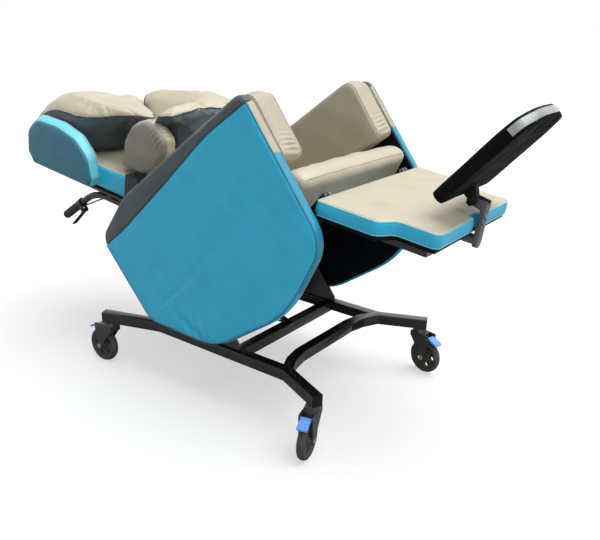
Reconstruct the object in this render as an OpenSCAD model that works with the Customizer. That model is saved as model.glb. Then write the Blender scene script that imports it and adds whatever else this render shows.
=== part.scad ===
// Tilt-in-space care chair on four braked casters, drawn fully tilted and reclined.
// The foot end points to -Y, the user's right side to -X and +Z is up; millimetres.

/* [Base frame] */
// Height of the underside of the rails above the floor
rail_under_z = 163; // [150:1:185]
// Height of the rail tube
rail_h = 36; // [28:1:42]
// Width of the rail tube
rail_w = 34; // [26:1:36]
// Wall of the rail tube
rail_wall = 2.5; // [1.5:0.5:4]
// Distance of each rail's middle outside the seat's side plate
rail_side = 16; // [14:1:17]
// Distance of each caster stem from the middle
stem_x = 347; // [335:1:370]
// Distance of the front stems ahead of the tilt pivot
front_stem_y = 450; // [420:5:480]
// Distance of the rear stems behind the tilt pivot
rear_stem_y = 433; // [410:5:460]
// Distance of the rails' front bend ahead of the tilt pivot
front_bend_y = 305; // [280:5:330]
// Distance of the rails' rear bend behind the tilt pivot
rear_bend_y = 240; // [210:5:270]
// Height of the tilt pivot above the floor
pivot_z = 320; // [315:1:345]
// Length of a post's foot along its rail
post_foot = 230; // [160:5:260]
// Thickness of a post plate
post_t = 8; // [5:1:8]

/* [Casters] */
// Diameter of a wheel
wheel_d = 125; // [100:5:130]
// Width of a wheel's tread
tread_w = 32; // [24:1:34]
// Distance of the axle behind the swivel stem
trail = 38; // [30:1:42]
// Diameter of the wheel axle
axle_d = 12; // [8:1:14]
// Diameter of the swivel stem
stem_d = 22; // [16:1:24]
// Directions in which the front right, front left, rear right and rear left casters trail
trail_angles = [194.6, 256.9, 91.4, -14.6];

/* [Seat] */
// Angle by which the seat is tilted back from upright
tilt_rest = 38; // [20:1:38]
// Width of the seat cushion
seat_w = 616; // [480:4:616]
// Depth of the seat cushion
seat_depth = 475; // [430:5:480]
// Thickness of the seat cushion
seat_t = 120; // [90:5:125]
// Height of the seat frame's tubes above the tilt pivot
seat_tube_z = 61; // [58:1:70]
// Side of the square seat tube
seat_tube = 30; // [25:1:32]
// Distance of the cushion's front ahead of the tilt pivot
seat_front_y = 576; // [560:1:580]
// Thickness of the seat board
board_t = 12; // [8:1:14]

/* [Arms] */
// Length of an arm panel
arm_len = 832; // [780:4:840]
// Height of an arm panel
arm_h = 606; // [580:2:610]
// Distance of the arm's front edge ahead of the tilt pivot
arm_front_y = 564; // [550:1:570]
// Height of the arm's top above the tilt pivot
arm_top_z = 463; // [450:1:470]
// Gap between the seat cushion and an arm board
arm_gap = 3; // [2:0.5:6]
// Thickness of the padded outer panel
arm_skin_t = 31; // [25:1:31]
// Thickness of the arm board
arm_board_t = 8; // [6:1:10]
// Thickness of the inner arm pad
arm_pad_t = 96; // [60:1:98]
// Height of the inner arm pad
arm_pad_h = 221; // [180:1:225]
// Length of the inner arm pad
arm_pad_len = 404; // [350:2:404]

/* [Back] */
// Angle by which the back is reclined from upright
recline_rest = 44.5; // [30:0.5:45]
// Distance of the back hinge ahead of the tilt pivot
back_hinge_y = 49.5; // [45:0.5:55]
// Height of the back hinge above the tilt pivot
back_hinge_z = 313.6; // [305:0.2:320]
// Width of the back cushion
back_w = 490; // [440:2:490]
// Distance from the back hinge up to the top of the back
back_up = 760; // [740:5:780]
// Distance from the back hinge down to the lower end of the back
back_down = 80; // [60:2:82]
// Thickness of the back cushion
back_t = 74; // [60:1:76]
// Distance of the cushion's front face ahead of the back hinge
back_face = 36; // [30:1:38]
// Thickness of a head wing
wing_t = 50; // [40:1:50]
// Height of a head wing
wing_h = 343; // [300:1:345]
// Depth of a head wing
wing_depth = 155; // [140:1:156]
// Height of the wing's lower end above the back hinge
wing_low_z = 424; // [420:1:430]
// Distance of each push handle from the middle
handle_x = 203; // [202:1:203]
// Diameter of the handle tube
handle_d = 25; // [20:1:26]
// Diameter of the hand grip
grip_d = 32; // [29:1:34]
// Length of the hand grip
grip_len = 110; // [95:1:130]

/* [Supports] */
// Half width of the head pillow
head_pillow_half = 228; // [200:1:230]
// Length of the head pillow up the back
head_pillow_len = 350; // [320:2:360]
// Height of the head pillow's lower end above the back hinge
head_pillow_low_z = 486; // [480:1:490]
// Half width of the back pillow's upper part
back_pillow_half = 205; // [180:1:208]
// Length of the back pillow up the back
back_pillow_len = 415; // [380:5:420]
// Height of the back pillow's lower end above the back hinge
back_pillow_low_z = 66; // [60:1:70]
// Thickness of a lateral pad
lateral_t = 60; // [45:1:62]
// Length of a lateral pad up the back
lateral_len = 200; // [170:2:205]
// Height of a lateral pad in front of the back
lateral_h = 150; // [130:1:152]
// Distance of the lateral pad's inner face from the middle
lateral_in_x = 151; // [150:1:158]
// Height of the lateral pad's lower end above the back hinge
lateral_low_z = 146; // [140:1:150]

/* [Legrest] */
// Angle by which the legrest hangs below the line of the seat
leg_rest_angle = 44.6; // [30:0.2:45]
// Distance of the legrest hinge ahead of the tilt pivot
leg_hinge_y = 566; // [560:1:570]
// Height of the legrest hinge above the tilt pivot
leg_hinge_z = 108; // [104:1:112]
// Length of the legrest pad
leg_len = 351; // [330:1:355]
// Thickness of the legrest pad
leg_t = 45; // [35:1:46]
// Gap between the legrest pad and an arm board
leg_side_gap = 2; // [1.5:0.5:8]
// Half width of the legrest pad at the foot
leg_half_slim = 252; // [235:1:260]
// Height of the pad's face above the hinge axis
leg_face_z = 8; // [4:1:9]
// Distance of the pad's rear edge ahead of the hinge axis
leg_edge_gap = 16; // [14:1:18]
// Side of the square legrest tube
leg_tube = 25; // [20:1:26]

/* [Footplate] */
// Angle between the legrest and the footplate
foot_angle = 55.6; // [40:0.2:70]
// Length of the footplate
foot_len = 315; // [280:1:320]
// Half width of the footplate
foot_half = 150; // [130:1:155]
// Thickness of the footplate
foot_t = 34; // [24:1:36]
// Height of the plate's underside above its hinge
foot_under = 33; // [28:1:34]
// Distance of the footplate hinge ahead of the legrest hinge
foot_hinge_y = 345; // [340:1:350]
// Height of the footplate hinge above the legrest hinge axis
foot_hinge_z = 50; // [46:1:54]

/* [Hidden] */

$fn = 48;
// Overrun of a cut past the face that it opens
over = 1;
// Running clearance of a pin in its bore
run = 0.05;
// Gap between a soft piece and its neighbour on another body
soft_gap = 0.3;
// Shift along Y that centres the chair's overall box on the origin
rest_shift_y = -35.1;
// Number of facets on the round edge of a padded piece
edge_steps = 3;
// Number of arc points on each rounded corner of a padded outline
pad_steps = 4;
// Number of points round a puffed cushion, and the turns of its rings above and below
puff_sides = 28;
puff_above = [88, 74, 60, 46, 32, 18, 8, 0];
puff_below = [-10, -24, -40, -56, -72, -88];

side_right = -1;
side_left = 1;

// Sizes of the posts and the tilt pivot
pivot_d = 16;
pivot_boss_r = 25;
pivot_head_r = 13;
pivot_head_t = 4;
side_plate_t = 8;
seat_side_in = 44;
back_side_gap = 19;
side_plate_x = max(seat_w/2 - seat_side_in, back_w/2 + back_side_gap);
rail_x = side_plate_x + rail_side;
socket_r = 16;
brace_bow = 43;
brace_turn_in = 65;
brace_turn_half = rail_x - brace_turn_in;
brace_flat_half = rail_x - 2*brace_turn_in;
rail_bend_r = 60;
rail_end_past = 21;
rail_top_z = rail_under_z + rail_h;
cross_y = -100;
plug_in = 4;
plug_lip = 3;
post_x = rail_x - post_t/2;
post_shoulder = 14;

// Sizes of the casters
fork_cheek_t = 4;
fork_gap = 3;
fork_in = tread_w/2 + fork_gap;
fork_out = fork_in + fork_cheek_t;
crown_h = 12;
crown_r = 25;
crown_z = rail_under_z - crown_h;
fork_top_z = crown_z - 1;
axle_z = wheel_d/2;
axle_boss_r = 13;
axle_head_r = 9;
axle_head_t = 4;
hub_r = 17;
rim_web_t = 14;
tread_t = 13;
tread_round = 9;
stem_top_z = rail_top_z - 2*rail_wall;
pedal_w = 34;
pedal_t = 6;
pedal_len = 44;
pedal_slope = 22;
pedal_pin_d = 6;
pedal_pin_x = trail + 14;
pedal_pin_z = axle_z + wheel_d/2 + 14;

// Sizes of the gas struts
strut_r = 11;
strut_rod_r = 5;
strut_pin_r = 4;
strut_eye_t = 10;
strut_lug_t = 5;
strut_lug_gap = 0.5;
strut_eye_wall = 4;
strut_foot_r = 9;
strut_neck_half = 7;
strut_neck_up = 6;
strut_low_z = strut_foot_r + 18;
tilt_foot = [-60, 215];
tilt_eye = [-250, 40];
tilt_play = 4.6;
tilt_travel = 71;
recline_foot = [50, 72];
recline_eye = [85, 60];
recline_play = 6.7;
recline_x = -60;
tilt_body_len = 160;
recline_body_len = 145;

// Sizes of the seat frame
seat_board_z = seat_tube_z + seat_tube + soft_gap;
seat_crown = 4;
seat_edge = 22;
seat_low_z = seat_board_z + board_t + soft_gap + seat_crown;
seat_top_z = seat_low_z + seat_t - seat_crown;
seat_rear_y = seat_depth - seat_front_y;
seat_nose = 91;
seat_board_front_y = seat_nose - seat_front_y;
rail_front_y = -505;
rail_rear_y = 60;
front_cross_y = -450;
hinge_pin_r = 6;
hinge_boss_r = 18;
hinge_head_r = 9;
hinge_head_t = 3;
back_lug_t = 8;
back_lug_gap = 4;
back_lug_x = side_plate_x - back_lug_gap - back_lug_t;
leg_pin_r = 5;
leg_boss_r = 9;
leg_plate_t = 8;
leg_bar_gap = 2;
leg_bar_x = side_plate_x - seat_tube;
leg_plate_x = leg_bar_x - leg_bar_gap - leg_plate_t;
leg_bar_rear = [-512, 100];
rear_cross_y = 20;

// Shares of the arm panel's length and height at its corners, with the corner radii as
// shares of its height: the top front, top rear, shoulder, rear, two under and low front
arm_outline_shares = [
    [0, 1, 0.066], [0.76, 1, 0.40], [1.0, 0.90, 0.09],
    [0.962, 0.344, 0.14], [0.69, 0.03, 0.40], [0.29, 0.0, 0.60], [0, 0.20, 0.19]
];
// Shares of the arm's length, and of its height down from its top, along the sewn line
band_line_shares = [[-0.02, 0.06], [0.222, 0.051], [0.542, 0.106], [0.851, 0.151], [1.05, 0.156]];
arm_board_inset = 8;
arm_edge = 16;
arm_pad_edge = 18;
arm_pad_crown = 5;
arm_inner_x = max(seat_w/2, rail_x + rail_w/2, post_x + post_t + pivot_head_t) + arm_gap;
arm_x = arm_inner_x + arm_board_t + arm_skin_t;
leg_half_wide = arm_inner_x - leg_side_gap;

// Sizes of the back
back_board_t = 12;
back_tube = 25;
back_tube_x = 190;
back_tube_y = back_t - back_face + back_board_t;
back_tube_low_z = -12;
back_tube_top_z = 690;
handle_stand = 2;
handle_y = back_tube_y + back_tube + handle_stand + handle_d/2;
handle_block_half = 10;
back_cushion_edge = 14;
back_cushion_crown = 8;
wing_edge = 14;
wing_crown = 4;
wing_back_y = 33;
wing_inner_x = back_w/2;
handle_angle = 41.8;
handle_low_z = 330;
handle_bend_z = 430;
handle_bend_r = 160;
handle_straight = 144;
handle_steps = 8;
handle_sides = 24;
handle_block_h = 20;
handle_block_z = [336, 396];
clamp_from = 32;
clamp_r = 18;
clamp_h = 24;
lever_pin_r = 3;
lever_pin_y = 28;
lever_len = 96;
lever_t = 5;
lever_w = 16;
lever_lean = 9;
lever_ear_t = 4;
cable_r = 2.5;
cable_sides = 8;
cable_route = [
    [-203, 162.7, 549.8], [-203, 159.5, 546.2], [-202.5, 154, 537], [-201, 148, 526], [-199, 140, 512],
    [-195, 126, 492],
    [-190, 113, 470], [-187, 101, 445], [-187, 90, 415], [-187, 82, 380], [-187, 78, 340],
    [-187, 78, 290], [-187, 78, 250], [-187, 78, 200], [-187, 78, 140], [-187, 77, 90],
    [-186, 75, 50], [-180, 71, 28], [-168, 67, 18], [-150, 66, 16], [-110, 66, 16],
    [-85, 66, 16], [-71, 66, 16]
];

// Sizes of the supports
lateral_edge = 16;
lateral_crown = 3;
lateral_plate_t = 4;
lateral_plate_h = 60;
lateral_plate_z = 222;
lateral_out_x = back_w/2 + 6;
head_seam_y = 172;
head_up = 68;
back_seam_y = 266;
back_up_t = 34;
back_skirt_t = 24;
back_body_half = 142;

// Sizes of the legrest
leg_wide_len = 196;
leg_taper_len = 30;
leg_edge = 12;
leg_crown = 3;
leg_board_inset = 8;
leg_under_z = leg_face_z - leg_t - soft_gap - board_t;
leg_tube_z = leg_under_z - leg_tube;
leg_tube_x = leg_plate_x - leg_tube;
leg_tube_end = leg_len - 20;
leg_notch_half = 30;
leg_notch_depth = 26;
centre_tube_w = 40;
centre_tube_wall = 2.5;
slide_gap = 0.25;
slide_len = 200;
foot_post_t = 14;
foot_post_half = 18;
foot_post_low_z = -84;
foot_post_y = leg_edge_gap + leg_len + 6;
foot_ear_t = 6;
foot_ear_r = 12;
foot_tongue_half = foot_post_half - foot_ear_t - 0.3;
foot_pin_r = 6;
foot_knob_r = 13;
foot_knob_t = 16;
foot_bolt_r = 4;
foot_bolt_z = [14, -8];
// Shares of the footplate's half width and length at the corners of its outline
foot_outline_shares = [
    [0.30, 0.02, 0.02], [0.40, 0.11, 0.06], [0.72, 0.11, 0.08], [0.93, 0.0, 0.02],
    [1.0, 0.05, 0.03], [1.0, 0.74, 0.06], [0.70, 1.0, 0.05]
];
foot_rim = 9;
foot_dish = 10;

// Corner sign, stem place and trail angle of each caster
corners = [
    [side_right, -front_stem_y, trail_angles[0]],
    [side_left, -front_stem_y, trail_angles[1]],
    [side_right, rear_stem_y, trail_angles[2]],
    [side_left, rear_stem_y, trail_angles[3]]
];

// Helpers for outlines
function unit(v) = v/norm(v);
function reversed(v) = [for (i = [len(v) - 1 : -1 : 0]) v[i]];
function total(v, i = 0) = i < len(v) ? v[i] + total(v, i + 1) : 0*v[0];
function middle(points) = total(points)/len(points);
function cross2(a, b) = a.x*b.y - a.y*b.x;
function twice_area(p) = total([for (i = [0 : len(p) - 1]) cross2(p[i], p[(i + 1) % len(p)])]);
function ccw(p) = twice_area(p) > 0 ? p : reversed(p);

// Arc of radius r that rounds the corner c between its neighbours p and q
function corner_arc(p, c, q, r, steps) =
    let (
        u = unit(p - c),
        w = unit(q - c),
        half = acos(max(-1, min(1, u*w)))/2,
        hub = c + unit(u + w)*r/sin(half),
        from = c + u*r/tan(half) - hub,
        to = c + w*r/tan(half) - hub,
        start = atan2(from.y, from.x),
        turn = (atan2(to.y, to.x) - start + 540) % 360 - 180
    )
    [for (i = [0 : steps]) hub + r*[cos(start + turn*i/steps), sin(start + turn*i/steps)]];

// Closed outline whose corners are rounded by their own radii
function rounded(points, radii, steps) =
    let (n = len(points))
    [for (i = [0 : n - 1])
        each corner_arc(points[(i + n - 1) % n], points[i], points[(i + 1) % n], radii[i], steps)];

// Open path whose inner corners are rounded
function bent(path, r, steps) = concat(
    [path[0]],
    [for (i = [1 : len(path) - 2]) each corner_arc(path[i - 1], path[i], path[i + 1], r, steps)],
    [path[len(path) - 1]]
);

// One side of a ribbon of constant width along an open path
function ribbon_side(path, off) =
    let (last = len(path) - 1)
    [for (i = [0 : last])
        let (
            a = unit(path[max(i, 1)] - path[max(i, 1) - 1]),
            b = unit(path[min(i + 1, last)] - path[min(i + 1, last) - 1]),
            d = unit(a + b)
        )
        path[i] + off/sqrt((1 + a*b)/2)*[-d.y, d.x]];
function ribbon(path, w) = concat(ribbon_side(path, w/2), reversed(ribbon_side(path, -w/2)));

// Outline drawn in by d towards its middle
function drawn_in(points, d) =
    let (c = middle(points))
    [for (p = points) p + (c - p)*d/norm(c - p)];

// Closed solid through rings of equal counts, each ring a list of 3-D points
module skin(rings) {
    n = len(rings[0]);
    last = len(rings) - 1;
    points = concat(
        [for (ring = rings) each ring],
        [middle(rings[0]), middle(rings[last])]
    );
    faces = concat(
        [for (k = [0 : last - 1], i = [0 : n - 1])
            let (j = (i + 1) % n)
            each [[k*n + i, (k + 1)*n + i, k*n + j], [k*n + j, (k + 1)*n + i, (k + 1)*n + j]]],
        [for (i = [0 : n - 1]) [(last + 1)*n, i, (i + 1) % n]],
        [for (i = [0 : n - 1]) [(last + 1)*n + 1, last*n + (i + 1) % n, last*n + i]]
    );
    polyhedron(points, faces, convexity = 6);
}

// Padded slab across X with round edges and a crown: its outline is in Y and Z
module padded(outline, x_low, x_high, edge_low, edge_high, crown) {
    shape = ccw(outline);
    mid = (x_low + x_high)/2;
    half = (x_high - x_low)/2;
    turns = [for (i = [0 : edge_steps]) 90*i/edge_steps];
    low = [for (a = turns) [x_low + edge_low*(1 - cos(a)), edge_low*(1 - sin(a))]];
    high = edge_high > 0
        ? [for (a = reversed(turns)) [x_high - edge_high*(1 - cos(a)), edge_high*(1 - sin(a))]]
        : [[x_high, 0]];
    stations = concat(low, crown == 0 ? [] : [[mid, 0]], high);
    skin([for (s = stations)
        let (inset = s[1] - crown*(1 - pow((s[0] - mid)/half, 2)))
        [for (p = drawn_in(shape, inset)) [s[0], p.x, p.y]]]);
}

// Rings of a puffed cushion about the XY plane of its seam: at the turn a, from 90 on its
// crown to -90 on its underside, it is soft_power(cos a) wide and soft_power(sin a) high
function soft_power(v, e) = sign(v)*pow(abs(v), e);
function puffed_ring(a, half_x, half_y, rise, fall, plan_round, edge_round) =
    let (
        spread = pow(cos(a), edge_round),
        z = soft_power(sin(a), edge_round)*(a < 0 ? fall : rise)
    )
    [for (i = [0 : puff_sides - 1])
        let (t = 360*(i + 0.5)/puff_sides)
        [
            half_x*spread*soft_power(cos(t), plan_round),
            half_y*spread*soft_power(sin(t), plan_round), z
        ]];

// Plate across X from x_low to x_high with the outline of its children in Y and Z
module slab(x_low, x_high) {
    translate([x_low, 0, 0]) rotate([90, 0, 90]) linear_extrude(x_high - x_low) children();
}

// The same plate on both sides of the chair
module slab_pair(x_low, x_high) {
    slab(x_low, x_high) children();
    slab(-x_high, -x_low) children();
}

// Pin or bore across X, centred at a point of Y and Z
module across(x_low, x_high, at, r) {
    translate([x_low, at.x, at.y]) rotate([0, 90, 0]) cylinder(h = x_high - x_low, r = r);
}
module across_pair(x_low, x_high, at, r) {
    across(x_low, x_high, at, r);
    across(-x_high, -x_low, at, r);
}

// Box from its lowest to its highest corner
module box(low, high) {
    translate(low) cube(high - low);
}

// Places: each module carries its children from a body's own frame to the chair at rest
module on_base() {
    translate([0, rest_shift_y, 0]) children();
}
module on_seat() {
    on_base() translate([0, 0, pivot_z]) rotate([-tilt_rest, 0, 0]) children();
}
module on_back() {
    on_seat() translate([0, -back_hinge_y, back_hinge_z]) rotate([-recline_rest, 0, 0]) children();
}
module on_leg() {
    on_seat() translate([0, -leg_hinge_y, leg_hinge_z]) rotate([leg_rest_angle, 0, 0]) children();
}
module on_foot() {
    on_leg() translate([0, -foot_hinge_y, foot_hinge_z]) rotate([-foot_angle, 0, 0]) children();
}
module on_caster(corner) {
    on_base() translate([corner[0]*stem_x, corner[1], 0]) rotate([0, 0, corner[2]]) children();
}
module on_grip(side) {
    on_back() translate([side*handle_x, handle_y, handle_bend_z]) {
        translate([0, handle_bend_r*(1 - cos(handle_angle)), handle_bend_r*sin(handle_angle)]) {
            rotate([-handle_angle, 0, 0]) translate([0, 0, clamp_from]) children();
        }
    }
}

// Where a point of the seat's or the back's frame lies in the frame that carries it
function turned(p, a) = [p.x*cos(a) + p.y*sin(a), -p.x*sin(a) + p.y*cos(a)];
function seat_point(p) = [0, pivot_z] + turned(p, tilt_rest);
function back_point(p) = [-back_hinge_y, back_hinge_z] + turned(p, recline_rest);

// Base: two kinked rails, a straight and a bowed cross tube, and the two tilt posts
function rail_path(side, past) =
    let (
        rear_kick = unit([stem_x - rail_x, rear_stem_y - rear_bend_y]),
        front_kick = unit([stem_x - rail_x, front_bend_y - front_stem_y])
    )
    [
        [side*(stem_x + past*rear_kick.x), rear_stem_y + past*rear_kick.y],
        [side*rail_x, rear_bend_y],
        [side*rail_x, -front_bend_y],
        [side*(stem_x + past*front_kick.x), past*front_kick.y - front_stem_y]
    ];
brace_path = [
    [-rail_x, -front_bend_y],
    [-brace_turn_half, -front_bend_y + brace_bow*0.7],
    [-brace_flat_half, -front_bend_y + brace_bow],
    [brace_flat_half, -front_bend_y + brace_bow],
    [brace_turn_half, -front_bend_y + brace_bow*0.7],
    [rail_x, -front_bend_y]
];

module rails_plan(w, past) {
    for (side = [side_right, side_left]) {
        polygon(ribbon(bent(rail_path(side, past), rail_bend_r, 5), w));
    }
}
module cross_plan(w, trim) {
    translate([-rail_x + trim, cross_y - w/2]) square([2*(rail_x - trim), w]);
}
module brace_plan(w) {
    polygon(ribbon(bent(brace_path, rail_bend_r/2, 3), w));
}

module tilt_post() {
    low = rail_top_z - over;
    polygon([
        [-post_foot/2, low], [post_foot/2, low], [post_foot/2, rail_top_z + post_shoulder],
        [pivot_boss_r*0.94, pivot_z + pivot_boss_r*0.34],
        [-pivot_boss_r*0.94, pivot_z + pivot_boss_r*0.34],
        [-post_foot/2, rail_top_z + post_shoulder]
    ]);
    translate([0, pivot_z]) circle(r = pivot_boss_r);
}

module base_frame() {
    inner = rail_w - 2*rail_wall;
    color([0.06, 0.06, 0.07]) on_base() difference() {
        union() {
            difference() {
                translate([0, 0, rail_under_z]) linear_extrude(rail_h) {
                    rails_plan(rail_w, rail_end_past);
                    cross_plan(rail_w, 0);
                    brace_plan(rail_w);
                }
                translate([0, 0, rail_under_z + rail_wall]) linear_extrude(rail_h - 2*rail_wall) {
                    rails_plan(inner, rail_end_past + over);
                    cross_plan(inner, rail_w/2);
                    brace_plan(inner);
                }
            }
            for (c = corners) {
                translate([c[0]*stem_x, c[1], rail_under_z]) cylinder(h = rail_h, r = socket_r);
            }
            slab_pair(post_x, post_x + post_t) tilt_post();
            slab_pair(strut_eye_t/2 + strut_lug_gap, strut_eye_t/2 + strut_lug_gap + strut_lug_t) {
                translate(tilt_foot) circle(r = strut_foot_r);
                polygon([
                    [tilt_foot.x - strut_foot_r, tilt_foot.y], [tilt_foot.x + strut_foot_r, tilt_foot.y],
                    [cross_y + rail_w/2, rail_top_z], [cross_y - rail_w/2, rail_top_z],
                    [cross_y - rail_w/2, rail_top_z + over]
                ]);
                translate([cross_y, rail_top_z - rail_wall]) square([tilt_foot.x - cross_y, rail_wall + over]);
            }
            across(-strut_eye_t - strut_lug_t, strut_eye_t + strut_lug_t, tilt_foot, strut_pin_r);
        }
        for (c = corners) {
            translate([c[0]*stem_x, c[1], rail_under_z - over]) {
                cylinder(h = stem_top_z - rail_under_z + over + rail_wall, r = stem_d/2 + run);
            }
        }
        across_pair(post_x - over, post_x + post_t + over, [0, pivot_z], pivot_d/2);
    }
}

module rail_plugs() {
    plug = rail_w - 2*rail_wall - 2*run;
    color([0.10, 0.10, 0.11]) on_base() for (side = [side_right, side_left], end = [0, 3]) {
        path = rail_path(side, rail_end_past);
        tip = path[end];
        inward = unit((end == 0 ? path[1] : path[2]) - tip);
        translate([tip.x, tip.y, rail_under_z]) rotate([0, 0, atan2(inward.y, inward.x)]) {
            box([-plug_lip, -rail_w/2, 0], [0, rail_w/2, rail_h]);
            box([0, -plug/2, rail_wall + run], [plug_in, plug/2, rail_h - rail_wall - run]);
        }
    }
}

module tilt_pins() {
    inner = side_plate_x - pivot_head_t;
    color([0.62, 0.63, 0.65]) on_base() translate([0, 0, pivot_z]) difference() {
        union() {
            across_pair(inner, post_x + post_t + pivot_head_t, [0, 0], pivot_d/2);
            across_pair(inner - pivot_head_t, inner - soft_gap, [0, 0], pivot_head_r);
            across_pair(post_x + post_t, post_x + post_t + pivot_head_t, [0, 0], pivot_head_r);
            across_pair(side_plate_x + side_plate_t + soft_gap, post_x, [0, 0], pivot_head_r);
        }
        across_pair(inner - 2*pivot_head_t, inner - pivot_head_t/2, [0, 0], pivot_d/4);
    }
}

// Casters: swivel fork, tyred wheel, axle with its nut, and the brake pedal
module caster_fork(corner) {
    cheek = rounded(
        [
            [-crown_r*0.9, fork_top_z], [pedal_pin_x + 7, fork_top_z], [pedal_pin_x + 7, pedal_pin_z - 8],
            [trail + axle_boss_r, axle_z + 8], [trail + axle_boss_r*0.6, axle_z - axle_boss_r],
            [trail - axle_boss_r*0.6, axle_z - axle_boss_r], [trail - axle_boss_r, axle_z + 8],
            [-crown_r*0.9, fork_top_z - 16]
        ],
        [4, 4, 12, 14, 6, 6, 14, 10], 4
    );
    color([0.20, 0.20, 0.21]) on_caster(corner) difference() {
        union() {
            for (side = [-1, 1]) {
                translate([0, side > 0 ? fork_out : -fork_in, 0]) rotate([90, 0, 0]) {
                    linear_extrude(fork_cheek_t) polygon(cheek);
                }
            }
            intersection() {
                translate([0, 0, wheel_d + 4]) cylinder(h = crown_z - wheel_d - 4, r = crown_r + 12);
                box([-crown_r*0.9, -fork_out, wheel_d + 4], [pedal_pin_x - 8, fork_out, fork_top_z]);
            }
            translate([0, 0, fork_top_z - over]) {
                cylinder(h = rail_under_z - fork_top_z - 1 + over, r1 = crown_r, r2 = crown_r*0.8);
            }
            cylinder(h = stem_top_z, r = stem_d/2);
        }
        translate([0, 0, -over]) cylinder(h = wheel_d + 4 + over, r = stem_d);
        translate([trail, fork_out + over, axle_z]) rotate([90, 0, 0]) {
            cylinder(h = 2*(fork_out + over), r = axle_d/2);
        }
        translate([pedal_pin_x, fork_out + over, pedal_pin_z]) rotate([90, 0, 0]) {
            cylinder(h = 2*(fork_out + over), r = pedal_pin_d/2 + run);
        }
    }
}

module caster_wheel(corner) {
    r = wheel_d/2;
    half = tread_w/2;
    hole = axle_d/2 + run;
    web = rim_web_t/2;
    rim = r - tread_t;
    color([0.27, 0.27, 0.25]) on_caster(corner) translate([trail, 0, axle_z]) rotate([90, 0, 0]) {
        difference() {
            rotate_extrude($fn = 72) polygon([
                [hole, -half], [hub_r, -half], [hub_r + 3, -web], [rim - 6, -web],
                [rim, -half + 4], [rim + 4, -half + 2], [r - tread_round*0.35, -half + tread_round*0.6],
                [r, -half + tread_round*1.4], [r, half - tread_round*1.4],
                [r - tread_round*0.35, half - tread_round*0.6], [rim + 4, half - 2], [rim, half - 4],
                [rim - 6, web], [hub_r + 3, web], [hub_r, half], [hole, half]
            ]);
            for (turn = [0 : 72 : 288]) {
                rotate([0, 0, turn]) translate([(hub_r + rim)/2, 0, -half]) {
                    cylinder(h = tread_w, r = (rim - hub_r)/3.4);
                }
            }
        }
    }
}

module caster_axle(corner) {
    color([0.62, 0.63, 0.65]) on_caster(corner) translate([trail, 0, axle_z]) rotate([90, 0, 0]) {
        translate([0, 0, -fork_out]) cylinder(h = 2*fork_out, r = axle_d/2);
        translate([0, 0, fork_out]) cylinder(h = axle_head_t, r = axle_head_r);
        translate([0, 0, -fork_out - axle_head_t]) cylinder(h = axle_head_t, r = axle_head_r, $fn = 6);
        for (side = [-1, 1]) {
            translate([0, 0, side*(tread_w/2 + fork_gap/2) - (fork_gap - soft_gap)/2]) difference() {
                cylinder(h = fork_gap - soft_gap, r = axle_head_r);
                translate([0, 0, -over]) cylinder(h = fork_gap + 2*over, r = axle_d/2);
            }
        }
    }
}

module caster_pedal(corner) {
    outline = rounded(
        [
            [0, pedal_pin_d*0.7], [8, pedal_pin_d*0.8], [pedal_len, pedal_t/2], [pedal_len + 2, -pedal_t/2],
            [8, -pedal_pin_d*0.5], [0, -pedal_pin_d*0.7]
        ],
        [2, 8, 2, 2, 8, 2], 4
    );
    color([0.15, 0.42, 0.90]) on_caster(corner) translate([pedal_pin_x, 0, pedal_pin_z]) {
        rotate([90, 0, 0]) translate([0, 0, -fork_out]) cylinder(h = 2*fork_out, r = pedal_pin_d/2);
        rotate([0, pedal_slope, 0]) intersection() {
            translate([0, pedal_w/2, 0]) rotate([90, 0, 0]) linear_extrude(pedal_w) polygon(outline);
            translate([0, 0, -pedal_len]) linear_extrude(2*pedal_len) polygon(rounded(
                [
                    [-pedal_pin_d, -pedal_w/2 + 1], [pedal_len*0.3, -pedal_w/2 + 1], [pedal_len + 3, -pedal_w/2],
                    [pedal_len + 3, pedal_w/2], [pedal_len*0.3, pedal_w/2 - 1], [-pedal_pin_d, pedal_w/2 - 1]
                ],
                [1, 8, 8, 8, 8, 1], 4
            ));
        }
    }
}

// Gas struts: a cylinder on its lower pin and a rod whose eye hangs round the upper pin
module strut_at(foot, eye, x) {
    d = eye - foot;
    translate([x, foot.x, foot.y]) rotate([-atan2(d.x, d.y), 0, 0]) children();
}
module strut_body(body_len) {
    difference() {
        union() {
            across(-strut_eye_t/2, strut_eye_t/2, [0, 0], strut_foot_r);
            box(
                [-strut_eye_t/2, -strut_neck_half, 0], [strut_eye_t/2, strut_neck_half, strut_foot_r + strut_neck_up]
            );
            translate([0, 0, strut_foot_r + 4]) cylinder(h = body_len - strut_foot_r - 8, r = strut_r);
            translate([0, 0, body_len - 4]) cylinder(h = 4, r1 = strut_r, r2 = strut_rod_r + 3);
        }
        across(-strut_eye_t, strut_eye_t, [0, 0], strut_pin_r + run);
        translate([0, 0, strut_foot_r + 14]) cylinder(h = body_len, r = strut_rod_r + run);
    }
}
module strut_rod(reach, play, low) {
    eye_r = strut_pin_r + play + strut_eye_wall;
    difference() {
        union() {
            translate([0, 0, low]) cylinder(h = reach - low - eye_r + 2, r = strut_rod_r);
            across(-strut_eye_t/2, strut_eye_t/2, [0, reach], eye_r);
        }
        across(-strut_eye_t, strut_eye_t, [0, reach], strut_pin_r + play);
    }
}

tilt_reach = norm(seat_point(tilt_eye) - tilt_foot);
recline_reach = norm(back_point(recline_eye) - recline_foot);

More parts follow.
